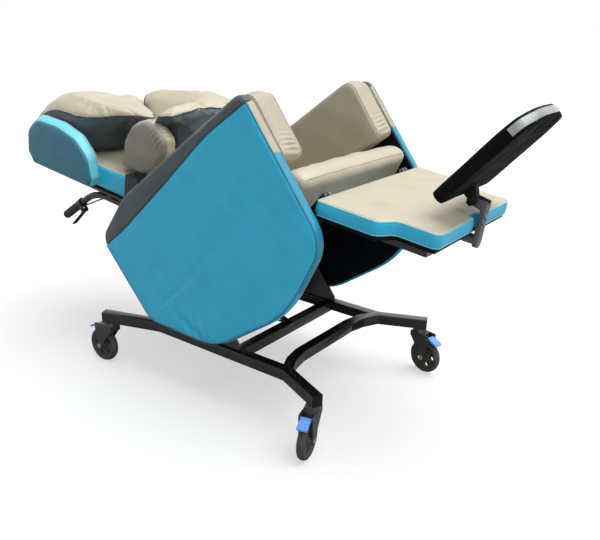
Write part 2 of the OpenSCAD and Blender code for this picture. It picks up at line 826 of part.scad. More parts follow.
module tilt_cylinder() {
    color([0.12, 0.12, 0.13]) on_base() strut_at(tilt_foot, seat_point(tilt_eye), 0) {
        strut_body(tilt_body_len);
    }
}
module tilt_rod() {
    color([0.75, 0.76, 0.78]) on_base() strut_at(tilt_foot, seat_point(tilt_eye), 0) {
        strut_rod(tilt_reach, tilt_play, strut_low_z + tilt_travel);
    }
}
module recline_cylinder() {
    color([0.12, 0.12, 0.13]) on_seat() strut_at(recline_foot, back_point(recline_eye), recline_x) {
        strut_body(recline_body_len);
    }
}
module recline_rod() {
    color([0.75, 0.76, 0.78]) on_seat() strut_at(recline_foot, back_point(recline_eye), recline_x) {
        strut_rod(recline_reach, recline_play, strut_low_z);
    }
}

// Ears of a strut's pin, with the pin through them and a web from the low to the high corner
module strut_ears(at, x, web_low, web_high) {
    out = strut_eye_t/2 + strut_lug_gap;
    for (low = [x - out - strut_lug_t, x + out]) {
        slab(low, low + strut_lug_t) {
            translate(at) circle(r = strut_foot_r);
            translate(web_low) square(web_high - web_low);
        }
    }
    across(x - out - strut_lug_t - 2, x + out + strut_lug_t + 2, at, strut_pin_r);
}

// Seat frame: side rails, cross tubes, the side plates of both pivots and the legrest bars
module seat_frame() {
    low = seat_tube_z;
    high = seat_tube_z + seat_tube;
    color([0.07, 0.07, 0.08]) on_seat() difference() {
        union() {
            for (side = [0, 1]) mirror([side, 0, 0]) {
                box([side_plate_x - seat_tube, rail_front_y, low], [side_plate_x, rail_rear_y, high]);
            }
            for (y = [front_cross_y, rear_cross_y, tilt_eye.x]) {
                reach = y == tilt_eye.x ? side_plate_x : arm_inner_x;
                box([-reach, y - seat_tube/2, low], [reach, y + seat_tube/2, high]);
            }
            slab_pair(side_plate_x, side_plate_x + side_plate_t) {
                circle(r = pivot_boss_r - 2);
                polygon([
                    [-pivot_boss_r + 2, 0], [pivot_boss_r - 2, 0], [46, low + 4], [46, high],
                    [-back_hinge_y + hinge_boss_r, back_hinge_z], [-back_hinge_y - hinge_boss_r, back_hinge_z],
                    [-94, high], [-94, low + 4]
                ]);
                translate([-back_hinge_y, back_hinge_z]) circle(r = hinge_boss_r);
            }
            slab_pair(leg_bar_x, leg_bar_x + leg_plate_t) {
                translate([-leg_hinge_y, leg_hinge_z]) circle(r = leg_boss_r);
                polygon([
                    [-leg_hinge_y, leg_hinge_z + leg_boss_r], [-leg_hinge_y, leg_hinge_z - leg_boss_r],
                    [leg_bar_rear.x, leg_bar_rear.y - leg_boss_r], [rail_front_y, high - 10],
                    [rail_front_y, low], [rail_front_y + seat_tube, low], [rail_front_y + seat_tube/2, high],
                    [leg_bar_rear.x, leg_bar_rear.y + 4]
                ]);
            }
            strut_ears(
                tilt_eye, 0, [tilt_eye.x - strut_foot_r, tilt_eye.y], [tilt_eye.x + strut_foot_r, low + over]
            );
            strut_ears(
                recline_foot, recline_x, [rear_cross_y + seat_tube/2 - over, recline_foot.y - strut_foot_r],
                [recline_foot.x, recline_foot.y + strut_foot_r]
            );
        }
        across_pair(side_plate_x - over, side_plate_x + side_plate_t + over, [0, 0], pivot_d/2 + run);
        across_pair(
            side_plate_x - over, side_plate_x + side_plate_t + over,
            [-back_hinge_y, back_hinge_z], hinge_pin_r
        );
        across_pair(leg_bar_x - over, leg_bar_x + leg_plate_t + over, [-leg_hinge_y, leg_hinge_z], leg_pin_r);
    }
}

module seat_board() {
    half = seat_w/2 - soft_gap;
    color([0.16, 0.13, 0.10]) on_seat() {
        box([-half, seat_board_front_y, seat_board_z], [half, seat_rear_y, seat_board_z + board_t]);
    }
}

module seat_cushion() {
    front = -seat_front_y;
    outline = rounded(
        [
            [seat_rear_y, seat_low_z], [seat_rear_y, seat_top_z], [front, seat_top_z],
            [front, seat_low_z + seat_t*0.38], [seat_board_front_y, seat_low_z]
        ],
        [14, 34, 52, 30, 40], pad_steps
    );
    color([0.72, 0.69, 0.62]) on_seat() padded(outline, -seat_w/2, seat_w/2, seat_edge, seat_edge, seat_crown);
}

// Arms: a board, a padded outer panel with its darker sewn band, and the inner pad
arm_outline = rounded(
    [for (s = arm_outline_shares) [s[0]*arm_len - arm_front_y, arm_top_z - (1 - s[1])*arm_h]],
    [for (s = arm_outline_shares) s[2]*arm_h], pad_steps
);
band_line = [for (s = band_line_shares) [s[0]*arm_len - arm_front_y, arm_top_z - s[1]*arm_h]];

module arm_skin() {
    padded(arm_outline, -arm_x, -arm_x + arm_skin_t, arm_edge, 0, 0);
}
module band_region() {
    top = arm_top_z + arm_edge;
    first = band_line[0];
    last = band_line[len(band_line) - 1];
    slab(-arm_x - over, -arm_inner_x) {
        polygon(concat([[first.x, top]], band_line, [[last.x, top]]));
    }
}

module arm_panel(side) {
    color([0.20, 0.62, 0.72]) on_seat() mirror([side > 0 ? 1 : 0, 0, 0]) difference() {
        arm_skin();
        band_region();
    }
}
module arm_band(side) {
    color([0.28, 0.30, 0.31]) on_seat() mirror([side > 0 ? 1 : 0, 0, 0]) intersection() {
        arm_skin();
        band_region();
    }
}
module arm_board(side) {
    x_low = side > 0 ? arm_inner_x : -arm_inner_x - arm_board_t;
    color([0.05, 0.07, 0.09]) on_seat() slab(x_low, x_low + arm_board_t) {
        polygon(drawn_in(arm_outline, arm_board_inset));
    }
}
module arm_pad(side) {
    x_low = side > 0 ? arm_inner_x - arm_pad_t : -arm_inner_x;
    front = -arm_front_y;
    rear = arm_pad_len - arm_front_y;
    outline = rounded(
        [
            [front, arm_top_z - 1], [rear, arm_top_z - 1], [rear, arm_top_z - arm_pad_h],
            [front + arm_pad_len*0.3, arm_top_z - arm_pad_h], [front + 4, arm_top_z - arm_pad_h + 3]
        ],
        [38, 30, 30, 60, 22], pad_steps
    );
    color([0.72, 0.69, 0.62]) on_seat() padded(
        outline, x_low, x_low + arm_pad_t, side > 0 ? arm_pad_edge : 2, side > 0 ? 2 : arm_pad_edge, arm_pad_crown
    );
}

module back_hinge_pins() {
    at = [-back_hinge_y, back_hinge_z];
    inner = back_lug_x - hinge_head_t;
    outer = side_plate_x + side_plate_t;
    color([0.62, 0.63, 0.65]) on_seat() {
        across_pair(inner, outer + hinge_head_t, at, hinge_pin_r);
        across_pair(outer, outer + hinge_head_t, at, hinge_head_r);
        across_pair(inner - soft_gap, back_lug_x - soft_gap, at, hinge_head_r);
        across_pair(back_lug_x + back_lug_t + soft_gap, side_plate_x, at, hinge_head_r);
    }
}

module leg_hinge_pins() {
    at = [-leg_hinge_y, leg_hinge_z];
    inner = leg_plate_x - hinge_head_t;
    outer = leg_bar_x + leg_plate_t;
    color([0.62, 0.63, 0.65]) on_seat() {
        across_pair(inner, outer + hinge_head_t, at, leg_pin_r);
        across_pair(outer, outer + hinge_head_t, at, hinge_head_r);
        across_pair(inner - soft_gap, leg_plate_x - soft_gap, at, hinge_head_r);
    }
}

// Back: ladder frame, push handles, board, cushion and head wings
module back_frame() {
    low = back_tube_low_z;
    y0 = back_tube_y;
    y1 = back_tube_y + back_tube;
    color([0.07, 0.07, 0.08]) on_back() difference() {
        union() {
            for (side = [0, 1]) mirror([side, 0, 0]) {
                box([back_tube_x, y0, low], [back_tube_x + back_tube, y1, back_tube_top_z]);
                slab(back_lug_x, back_lug_x + back_lug_t) {
                    circle(r = hinge_boss_r);
                    polygon([[0, -hinge_boss_r], [y1, low], [y1, low + back_tube], [0, hinge_boss_r]]);
                }
            }
            box([-back_lug_x - back_lug_t, y0, low], [back_lug_x + back_lug_t, y1, low + back_tube]);
            for (z = [lateral_plate_z + lateral_plate_h/2, back_tube_top_z - back_tube]) {
                box([-back_tube_x - over, y0, z - back_tube/2], [back_tube_x + over, y1, z + back_tube/2]);
            }
            strut_ears_back();
        }
        across_pair(back_lug_x - over, back_lug_x + back_lug_t + over, [0, 0], hinge_pin_r + run);
    }
}

// Bent handle tubes, each on two weld blocks behind its upright
function handle_path(x) = concat(
    [[x, handle_y, handle_low_z]],
    [for (k = [0 : handle_steps])
        let (a = handle_angle*k/handle_steps)
        [x, handle_y + handle_bend_r*(1 - cos(a)), handle_bend_z + handle_bend_r*sin(a)]],
    [[
        x, handle_y + handle_bend_r*(1 - cos(handle_angle)) + handle_straight*sin(handle_angle),
        handle_bend_z + handle_bend_r*sin(handle_angle) + handle_straight*cos(handle_angle)
    ]]
);

module push_handles() {
    color([0.07, 0.07, 0.08]) on_back() for (side = [side_right, side_left]) {
        path = handle_path(side*handle_x);
        skin([for (i = [0 : len(path) - 1]) sweep_ring(path, i, handle_d/2, handle_sides)]);
        translate([side*handle_x, handle_y, 0]) for (z = handle_block_z) {
            box(
                [-handle_block_half, -handle_d/2 - handle_stand, z],
                [handle_block_half, -handle_d/4, z + handle_block_h]
            );
        }
    }
}

module lever_clamp() {
    color([0.07, 0.07, 0.08]) on_grip(side_right) difference() {
        union() {
            cylinder(h = clamp_h, r = clamp_r);
            for (x = [-lever_w/2 - lever_ear_t, lever_w/2]) {
                slab(x, x + lever_ear_t) {
                    translate([0, clamp_h/2 - 8]) square([lever_pin_y, 16]);
                    translate([lever_pin_y, clamp_h/2]) circle(r = 8);
                }
            }
        }
        across(-lever_w, lever_w, [lever_pin_y, clamp_h/2], lever_pin_r + run);
        translate([-lever_w/2, clamp_r - 3, -over]) cube([lever_w, clamp_r, clamp_h + 2*over]);
        translate([0, 0, -over]) cylinder(h = clamp_h + 2*over, r = handle_d/2);
    }
}

// Ears of the recline strut, standing off the lowest cross tube of the back
module strut_ears_back() {
    out = strut_eye_t/2 + strut_lug_gap;
    r = strut_foot_r;
    low = back_tube_low_z + back_tube/2;
    for (x = [recline_x - out - strut_lug_t, recline_x + out]) {
        slab(x, x + strut_lug_t) {
            translate(recline_eye) circle(r = r);
            polygon([
                [back_tube_y, low], [back_tube_y + back_tube, low], recline_eye + [r, 0], recline_eye - [r, 0]
            ]);
        }
    }
    across(recline_x - out - strut_lug_t - 2, recline_x + out + strut_lug_t + 2, recline_eye, strut_pin_r);
}

module back_board() {
    y0 = back_t - back_face + soft_gap;
    half = back_w/2 - 2;
    color([0.06, 0.06, 0.07]) on_back() {
        box([-half, y0, 6 - back_down], [half, back_tube_y, back_up - 6]);
    }
}

module back_cushion() {
    outline = rounded(
        [
            [-back_face, -back_down], [back_t - back_face, -back_down],
            [back_t - back_face, back_up], [-back_face, back_up]
        ],
        [24, 10, 10, 30], pad_steps
    );
    color([0.72, 0.69, 0.62]) on_back() {
        padded(outline, -back_w/2, back_w/2, back_cushion_edge, back_cushion_edge, 0);
    }
}

module wing(side) {
    front = wing_back_y - wing_depth;
    top = wing_low_z + wing_h;
    outline = rounded(
        [
            [wing_back_y, wing_low_z], [wing_back_y, top - wing_h*0.10], [wing_back_y - wing_depth*0.34, top],
            [front, top - wing_h*0.12], [front, wing_low_z + wing_h*0.42],
            [wing_back_y - wing_depth*0.24, wing_low_z]
        ],
        [8, 26, 36, 60, 90, 26], pad_steps
    );
    x_low = side > 0 ? wing_inner_x + soft_gap : -wing_inner_x - soft_gap - wing_t;
    color([0.20, 0.62, 0.72]) on_back() {
        padded(outline, x_low, x_low + wing_t, wing_edge, wing_edge, wing_crown);
    }
}

module grip(side) {
    color([0.05, 0.05, 0.05]) on_grip(side) difference() {
        union() {
            translate([0, 0, clamp_h]) cylinder(h = grip_len - grip_d/2, r = grip_d/2);
            translate([0, 0, clamp_h + grip_len - grip_d/2]) sphere(r = grip_d/2);
        }
        cylinder(h = handle_straight - clamp_from, r = handle_d/2);
    }
}

module release_lever() {
    color([0.09, 0.09, 0.10]) on_grip(side_right) translate([0, lever_pin_y, clamp_h/2]) {
        across(-lever_w/2 - lever_ear_t - 1, lever_w/2 + lever_ear_t + 1, [0, 0], lever_pin_r);
        rotate([-lever_lean, 0, 0]) slab(-lever_w/2 + soft_gap, lever_w/2 - soft_gap) {
            circle(r = 7);
            polygon(rounded(
                [[-2, -7], [6, -7], [lever_t + 1, lever_len], [1, lever_len], [1, 20], [-2, 10]],
                [1, 2, 2, 1, 8, 6], 4
            ));
        }
    }
}

function sweep_ring(path, i, r, sides) =
    let (
        last = len(path) - 1,
        d = unit(path[min(i + 1, last)] - path[max(i - 1, 0)]),
        u = unit(cross(d, [0, 1, 0])),
        v = cross(d, u)
    )
    [for (k = [0 : sides - 1]) path[i] + r*(cos(360*k/sides)*u + sin(360*k/sides)*v)];

module release_cable() {
    color([0.10, 0.10, 0.10]) on_back() {
        skin([for (i = [0 : len(cable_route) - 1]) sweep_ring(cable_route, i, cable_r, cable_sides)]);
    }
}

// Pillows strapped over the back cushion, and the two trunk supports on their brackets
module head_pillow() {
    half = head_pillow_len/2;
    fall = head_seam_y - back_face - soft_gap;
    color([0.72, 0.69, 0.62]) on_back() translate([0, -head_seam_y, head_pillow_low_z + half]) {
        rotate([90, 0, 0]) skin(reversed(concat(
            [for (a = puff_above) puffed_ring(a, head_pillow_half, half, head_up, fall, 0.45, 0.75)],
            [for (a = puff_below) puffed_ring(a, head_pillow_half, half, head_up, fall, 0.45, 0.28)]
        )));
    }
}

// Its upper part spreads over the trunk supports and its body fits between them
module back_pillow() {
    half = back_pillow_len/2;
    fall = back_seam_y - back_face - soft_gap;
    low = half*0.94;
    color([0.72, 0.69, 0.62]) on_back() translate([0, -back_seam_y, back_pillow_low_z + half]) {
        rotate([90, 0, 0]) skin(reversed(concat(
            [for (a = puff_above) puffed_ring(a, back_pillow_half, half, back_up_t, 0, 0.45, 0.8)],
            [for (a = [-14, -32]) puffed_ring(a, back_pillow_half, half, 0, back_skirt_t, 0.45, 0.5)],
            [puffed_ring(-32, back_body_half, low, 0, back_skirt_t, 0.4, 0.5)],
            [for (a = puff_below) if (a < -10) puffed_ring(a, back_body_half, low, 0, fall, 0.4, 0.25)]
        )));
    }
}

module lateral_pad(side) {
    y1 = -back_face - 42;
    y0 = y1 - lateral_h;
    z0 = lateral_low_z;
    z1 = lateral_low_z + lateral_len;
    outline = rounded(
        [
            [y1, z0 + 8], [y1, z1], [y0 + 40, z1 - 4], [y0, z1 - 70], [y0, z0 + 40], [y0 + 40, z0]
        ],
        [24, 24, 60, 50, 40, 44], pad_steps
    );
    x_low = side > 0 ? lateral_in_x : -lateral_in_x - lateral_t;
    color([0.60, 0.57, 0.52]) on_back() {
        padded(outline, x_low, x_low + lateral_t, lateral_edge, lateral_edge, lateral_crown);
    }
}

// The bracket runs out from behind the board, round the cushion's side and in to the pad
module lateral_bracket(side) {
    t = lateral_plate_t;
    z0 = lateral_plate_z;
    z1 = z0 + lateral_plate_h;
    pad_out = lateral_in_x + lateral_t;
    rear = back_tube_y + back_tube + soft_gap;
    front = -back_face - 10;
    color([0.08, 0.08, 0.09]) on_back() mirror([side > 0 ? 0 : 1, 0, 0]) {
        box([back_tube_x + 2, rear, z0], [lateral_out_x + t, rear + t, z1]);
        box([lateral_out_x, front - t, z0], [lateral_out_x + t, rear + t, z1]);
        box([pad_out + soft_gap, front - t, z0], [lateral_out_x + t, front, z1]);
        box([pad_out + soft_gap, front - 86, z0 + 4], [pad_out + soft_gap + t, front, z1 - 4]);
    }
}

// Legrest: tube frame, board and waisted pad, with the slide of the footplate in its middle
function leg_plan(grow) =
    let (
        rear = -leg_edge_gap + grow,
        wide = leg_half_wide + grow,
        slim = leg_half_slim + grow,
        foot = -leg_edge_gap - leg_len - grow,
        kink = -leg_edge_gap - leg_wide_len,
        notch = leg_notch_half - grow
    )
    [
        [rear, wide], [kink, wide], [kink - leg_taper_len, slim], [foot, slim],
        [foot, notch], [foot + leg_notch_depth, notch*0.8], [foot + leg_notch_depth, -notch*0.8], [foot, -notch],
        [foot, -slim], [kink - leg_taper_len, -slim], [kink, -wide], [rear, -wide]
    ];
leg_plan_radii = [14, 26, 26, 22, 5, 8, 8, 5, 22, 26, 26, 14];

function across_plan(points) = ccw([for (p = points) [p.y, p.x]]);

module leg_pad() {
    plan = across_plan(rounded(leg_plan(-leg_edge/3), leg_plan_radii, 3));
    outline = across_plan(rounded(leg_plan(0), leg_plan_radii, 3));
    low = leg_face_z - leg_t;
    layers = [
        [low, plan], [low + leg_edge/2, outline], [leg_face_z - leg_edge/2, outline], [leg_face_z, plan]
    ];
    color([0.20, 0.62, 0.72]) on_leg() skin([for (layer = layers) [for (p = layer[1]) [p.x, p.y, layer[0]]]]);
}

module leg_board() {
    color([0.05, 0.05, 0.06]) on_leg() translate([0, 0, leg_under_z]) linear_extrude(board_t) {
        polygon(across_plan(leg_plan(-leg_board_inset)));
    }
}

module leg_frame() {
    z0 = leg_tube_z;
    z1 = leg_under_z - soft_gap;
    half = centre_tube_w/2;
    hole = half - centre_tube_wall;
    color([0.07, 0.07, 0.08]) on_leg() difference() {
        union() {
            for (side = [0, 1]) mirror([side, 0, 0]) {
                box([leg_tube_x, -leg_tube_end, z0], [leg_plate_x, -leg_edge_gap, z1]);
                slab(leg_plate_x, leg_plate_x + leg_plate_t) {
                    circle(r = leg_boss_r);
                    polygon([
                        [leg_boss_r, 0], [-leg_boss_r, 0], [-leg_boss_r*1.4, leg_under_z], [-leg_edge_gap - 8, z1],
                        [-leg_edge_gap - 8, z0], [-leg_boss_r*0.7, z0 + 4], [-2, leg_under_z]
                    ]);
                }
            }
            for (y = [-70, -leg_tube_end + leg_tube/2]) {
                box([-leg_tube_x, y - leg_tube/2, z0], [leg_tube_x, y + leg_tube/2, z1]);
            }
            box([-half, -leg_tube_end, z0], [half, -70, z1]);
        }
        box([-hole, -leg_tube_end - over, z0 + centre_tube_wall], [hole, -70 - leg_tube, z1 - centre_tube_wall]);
        across_pair(leg_plate_x - over, leg_plate_x + leg_plate_t + over, [0, 0], leg_pin_r + run);
    }
}

// Footplate bracket: inner slide tube, rounded post in front of the pad and two hinge ears
module foot_bracket() {
    hole = centre_tube_w/2 - centre_tube_wall - slide_gap;
    z0 = leg_tube_z + centre_tube_wall + slide_gap;
    z1 = leg_under_z - soft_gap - centre_tube_wall - slide_gap;
    front = -foot_post_y - foot_post_t;
    color([0.30, 0.31, 0.32]) on_leg() difference() {
        union() {
            box([-hole, -foot_post_y, z0], [hole, slide_len - foot_post_y, z1]);
            translate([0, -foot_post_y, 0]) rotate([90, 0, 0]) linear_extrude(foot_post_t) {
                translate([0, foot_post_low_z + foot_post_half]) circle(r = foot_post_half);
                translate([-foot_post_half, foot_post_low_z + foot_post_half]) {
                    square([2*foot_post_half, foot_hinge_z - foot_post_low_z - foot_post_half]);
                }
            }
            slab_pair(foot_post_half - foot_ear_t, foot_post_half) {
                translate([-foot_hinge_y, foot_hinge_z]) circle(r = foot_ear_r);
                polygon([
                    [-foot_hinge_y, foot_hinge_z - foot_ear_r], [-foot_hinge_y, foot_hinge_z + foot_ear_r],
                    [front, foot_hinge_z + foot_ear_r*0.6], [front, foot_hinge_z - 2*foot_ear_r]
                ]);
            }
        }
        across(-foot_post_half - over, foot_post_half + over, [-foot_hinge_y, foot_hinge_z], foot_pin_r);
        for (z = foot_bolt_z) {
            translate([0, -foot_post_y + over, z]) rotate([90, 0, 0]) cylinder(h = foot_post_t + 2*over, r = foot_bolt_r);
        }
        box([-foot_tongue_half - 0.3, -foot_post_y - over, foot_hinge_z - foot_ear_r*1.1],
            [foot_tongue_half + 0.3, -foot_hinge_y + foot_ear_r + over, foot_hinge_z + 2*foot_ear_r]);
    }
}

module foot_pin() {
    at = [-foot_hinge_y, foot_hinge_z];
    color([0.05, 0.05, 0.05]) on_leg() {
        across(-foot_post_half, foot_post_half, at, foot_pin_r);
        across(foot_post_half, foot_post_half + 4, at, foot_pin_r + 3);
        difference() {
            across(-foot_post_half - foot_knob_t, -foot_post_half, at, foot_knob_r);
            for (turn = [0 : 60 : 300]) {
                translate([-foot_post_half - foot_knob_t - over, at.x, at.y]) rotate([turn, 0, 0]) {
                    translate([0, foot_knob_r + 3, 0]) rotate([0, 90, 0]) cylinder(h = foot_knob_t, r = 5);
                }
            }
        }
    }
}

module foot_bolts() {
    color([0.55, 0.56, 0.58]) on_leg() for (z = foot_bolt_z) {
        translate([0, -foot_post_y, z]) rotate([90, 0, 0]) {
            cylinder(h = foot_post_t, r = foot_bolt_r);
            translate([0, 0, foot_post_t]) difference() {
                cylinder(h = foot_bolt_r, r = foot_bolt_r*1.8);
                translate([0, 0, foot_bolt_r/2]) cylinder(h = foot_bolt_r, r = foot_bolt_r*0.9, $fn = 6);
            }
        }
    }
}

module footplate() {
    right = [for (s = foot_outline_shares) [s[0]*foot_half, 15 - s[1]*foot_len]];
    radii = [for (s = foot_outline_shares) s[2]*foot_len];
    left = [for (p = reversed(right)) [-p.x, p.y]];
    plan = rounded(concat(right, left), concat(radii, reversed(radii)), 4);
    well = rounded(
        [
            [foot_half - foot_rim, -40], [foot_half - foot_rim, 15 - foot_len*0.74],
            [foot_half*0.66, 15 - foot_len + foot_rim], [-foot_half*0.66, 15 - foot_len + foot_rim],
            [foot_rim - foot_half, 15 - foot_len*0.74], [foot_rim - foot_half, -40]
        ],
        [12, 14, 12, 12, 14, 12], 4
    );
    top = foot_under + foot_t;
    color([0.05, 0.05, 0.06]) on_foot() difference() {
        union() {
            difference() {
                translate([0, 0, foot_under]) linear_extrude(foot_t) polygon(plan);
                translate([0, 0, top - foot_dish]) linear_extrude(foot_dish + over) polygon(well);
            }
            slab(-foot_tongue_half, foot_tongue_half) {
                circle(r = foot_ear_r - 1);
                polygon([[foot_ear_r - 1, 0], [foot_ear_r - 1, foot_under + 4], [-40, foot_under + 4], [-12, -2]]);
            }
        }
        across(-foot_post_half, foot_post_half, [0, 0], foot_pin_r + run);
    }
}

base_frame();
rail_plugs();
tilt_pins();
caster_fork(corners[0]);  // front_right_fork
caster_wheel(corners[0]);  // front_right_wheel
caster_axle(corners[0]);  // front_right_axle
caster_pedal(corners[0]);  // front_right_pedal
caster_fork(corners[1]);  // front_left_fork
caster_wheel(corners[1]);  // front_left_wheel
caster_axle(corners[1]);  // front_left_axle
caster_pedal(corners[1]);  // front_left_pedal
caster_fork(corners[2]);  // rear_right_fork
caster_wheel(corners[2]);  // rear_right_wheel
caster_axle(corners[2]);  // rear_right_axle
caster_pedal(corners[2]);  // rear_right_pedal
caster_fork(corners[3]);  // rear_left_fork
caster_wheel(corners[3]);  // rear_left_wheel
caster_axle(corners[3]);  // rear_left_axle
caster_pedal(corners[3]);  // rear_left_pedal
tilt_cylinder();
tilt_rod();
seat_frame();
seat_board();
seat_cushion();
arm_panel(side_right);  // right_arm_panel
arm_panel(side_left);  // left_arm_panel
arm_band(side_right);  // right_arm_band
arm_band(side_left);  // left_arm_band
arm_board(side_right);  // right_arm_board
arm_board(side_left);  // left_arm_board
arm_pad(side_right);  // right_arm_pad
arm_pad(side_left);  // left_arm_pad
back_hinge_pins();
leg_hinge_pins();
recline_cylinder();
recline_rod();
back_frame();
back_board();
back_cushion();
wing(side_right);  // right_wing
wing(side_left);  // left_wing
head_pillow();
back_pillow();
push_handles();
lever_clamp();
grip(side_right);  // right_grip
grip(side_left);  // left_grip
release_lever();
release_cable();
lateral_pad(side_right);  // right_lateral_pad
lateral_pad(side_left);  // left_lateral_pad
lateral_bracket(side_right);  // right_lateral_bracket
lateral_bracket(side_left);  // left_lateral_bracket
leg_frame();
leg_board();
leg_pad();
foot_bracket();
foot_pin();
foot_bolts();
footplate();
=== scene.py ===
# %% [markdown]
# This lesson dresses a tilt-in-space care chair. The frame, casters, struts and boards come from the
# construction model, and everything upholstered is made here.

# %% Load the frame
import math
import bmesh
import bpy
import numpy as np
from mathutils import Matrix, Vector
from mathutils.bvhtree import BVHTree


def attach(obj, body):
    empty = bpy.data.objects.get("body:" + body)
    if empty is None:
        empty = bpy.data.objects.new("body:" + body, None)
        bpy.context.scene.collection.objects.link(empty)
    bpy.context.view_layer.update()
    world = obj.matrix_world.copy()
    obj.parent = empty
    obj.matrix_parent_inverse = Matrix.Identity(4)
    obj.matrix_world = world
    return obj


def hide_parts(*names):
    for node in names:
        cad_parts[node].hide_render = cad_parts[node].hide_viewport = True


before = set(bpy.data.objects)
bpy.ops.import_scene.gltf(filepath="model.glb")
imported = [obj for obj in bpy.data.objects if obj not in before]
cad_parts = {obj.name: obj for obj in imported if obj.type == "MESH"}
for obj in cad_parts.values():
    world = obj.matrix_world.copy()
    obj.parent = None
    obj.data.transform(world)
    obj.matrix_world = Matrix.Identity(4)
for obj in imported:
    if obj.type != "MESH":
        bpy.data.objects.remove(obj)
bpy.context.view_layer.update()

# %% [markdown]
# The camera stands where the photographer stood, a bit above the footrest and to the right of the
# person seated. It is placed by a position and three directions, so that nothing has to be aimed.

# %% Camera
def added(name, data):
    """A new object with this data, linked into the scene."""
    thing = bpy.data.objects.new(name, data)
    bpy.context.scene.collection.objects.link(thing)
    return thing

def standing(right, up, back, spot=(0, 0, 0)):
    """Matrix of something that stands at a spot, in metres, with three directions of its own."""
    return Matrix([[right[i], up[i], back[i], spot[i]] for i in range(3)] + [[0, 0, 0, 1]])

shift_y = -35.1  # mm, the chair's own shift along Y in the construction model
eye = np.array([-1888.2, -1445.3 + shift_y, 1254.2])/1000
forward = np.array([0.7721, 0.5327, -0.3467])
level = np.array([0.5679, -0.8231, 0.0])
upward = np.array([0.2854, 0.1969, 0.9380])
roll = 0.045366
right = level*math.cos(roll) + upward*math.sin(roll)
up = upward*math.cos(roll) - level*math.sin(roll)
camera = added("camera", bpy.data.cameras.new("camera"))
camera.matrix_world = standing(right, up, -forward, eye)
camera.data.lens, camera.data.sensor_width = 42.94, 36  # mm
camera.data.clip_end = 60
bpy.context.scene.camera = camera

# %% [markdown]
# Every moving group has its own frame: the seat is tilted on the base, the back is reclined on the
# seat, the legrest hangs from the seat and the footplate from the legrest. Shapes are drawn in these
# frames in millimetres and then carried into the room in metres.

# %% Places
def turned_x(degrees):
    """Turns (y, z) to (y cos + z sin, z cos - y sin)."""
    c, s = math.cos(math.radians(degrees)), math.sin(math.radians(degrees))
    return np.array([[1, 0, 0], [0, c, s], [0, -s, c]])

def placed(parent, offset, degrees):
    """A frame inside its parent: first the turn, then the offset, then the parent's own place."""
    turn, origin = parent
    return turn @ turned_x(degrees), turn @ offset + origin

pivot_height, tilt, recline, leg_angle, foot_angle = 320.0, 38, 44.5, -44.6, 55.6  # mm, then degrees
back_hinge, leg_hinge, foot_hinge = (0, -49.5, 313.6), (0, -566, 108), (0, -345, 50)
seat_place = placed((np.eye(3), np.array([0, shift_y, pivot_height])), (0, 0, 0), tilt)
back_place = placed(seat_place, back_hinge, recline)
leg_place = placed(seat_place, leg_hinge, leg_angle)
foot_place = placed(leg_place, foot_hinge, foot_angle)
on_seat, on_back = (seat_place, "seat"), (back_place, "back")
on_leg, on_foot = (leg_place, "leg"), (foot_place, "foot")
both_sides = ((-1, "right"), (1, "left"))

def carried(points, place):
    """Points in millimetres of one frame, carried into the room in metres."""
    turn, origin = place
    return (points @ turn.T + origin)/1000

# %% [markdown]
# A small toolbox turns arrays into meshes. A grid of points becomes quads by joining each point with
# its next neighbours, all at once, so that a fine cushion takes only a moment.

# %% Mesh tools
def quads(index, wrap=False):
    """Quads between neighbours of a grid of corner numbers; wrap joins the last column to the first."""
    if wrap:
        index = np.hstack([index, index[:, :1]])
    return np.stack([index[:-1, :-1], index[:-1, 1:], index[1:, 1:], index[1:, :-1]], -1).reshape(-1, 4)

def painted(mesh, materials):
    """Gives a mesh these finishes and no others."""
    mesh.materials.clear()
    for material in materials:
        mesh.materials.append(material)

def smoothed(mesh):
    """Shades every face smooth."""
    mesh.polygons.foreach_set("use_smooth", np.ones(len(mesh.polygons), bool))

def seated(piece, body, stands_for=()):
    """Hangs a piece on the empty of the body that carries it, and hides the construction nodes that it
    replaces.
    """
    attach(piece, body)
    if stands_for:
        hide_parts(*stands_for)
    return piece

def make_piece(name, points, faces, group, materials, slot, stands_for=(), regions=None):
    """Builds a smooth mesh in a group's place, points its faces outwards and seats it on the group's body."""
    place, body = group
    mesh = bpy.data.meshes.new(name)
    mesh.from_pydata(carried(points, place), [], faces if isinstance(faces, list) else faces.tolist())
    painted(mesh, materials)
    if regions is not None:
        mesh.polygons.foreach_set("material_index", np.asarray(regions, np.int32))
    smoothed(mesh)
    shell = bmesh.new()
    shell.from_mesh(mesh)
    bmesh.ops.remove_doubles(shell, verts=shell.verts, dist=1e-6)
    bmesh.ops.recalc_face_normals(shell, faces=shell.faces)
    shell.to_mesh(mesh)
    shell.free()
    return seated(added(name, mesh), body, stands_for)

def upholstered(node, shape, group, materials, slot, regions=None, name=None):
    """A padded piece in place of one construction node, and named after it."""
    piece = make_piece(name or node + "_cover", *shape[:2], group, materials, slot, [node], regions)
    return piece

def mirrored(shape, side):
    """A shape drawn for the right side, turned over for the left one."""
    points, faces, regions = shape
    return points*[-side, 1, 1], faces, regions

# %% [markdown]
# An upholsterer starts from an outline cut in board. Outlines here are lists of corners, each with
# its own rounding, and every length along them can be asked for evenly.

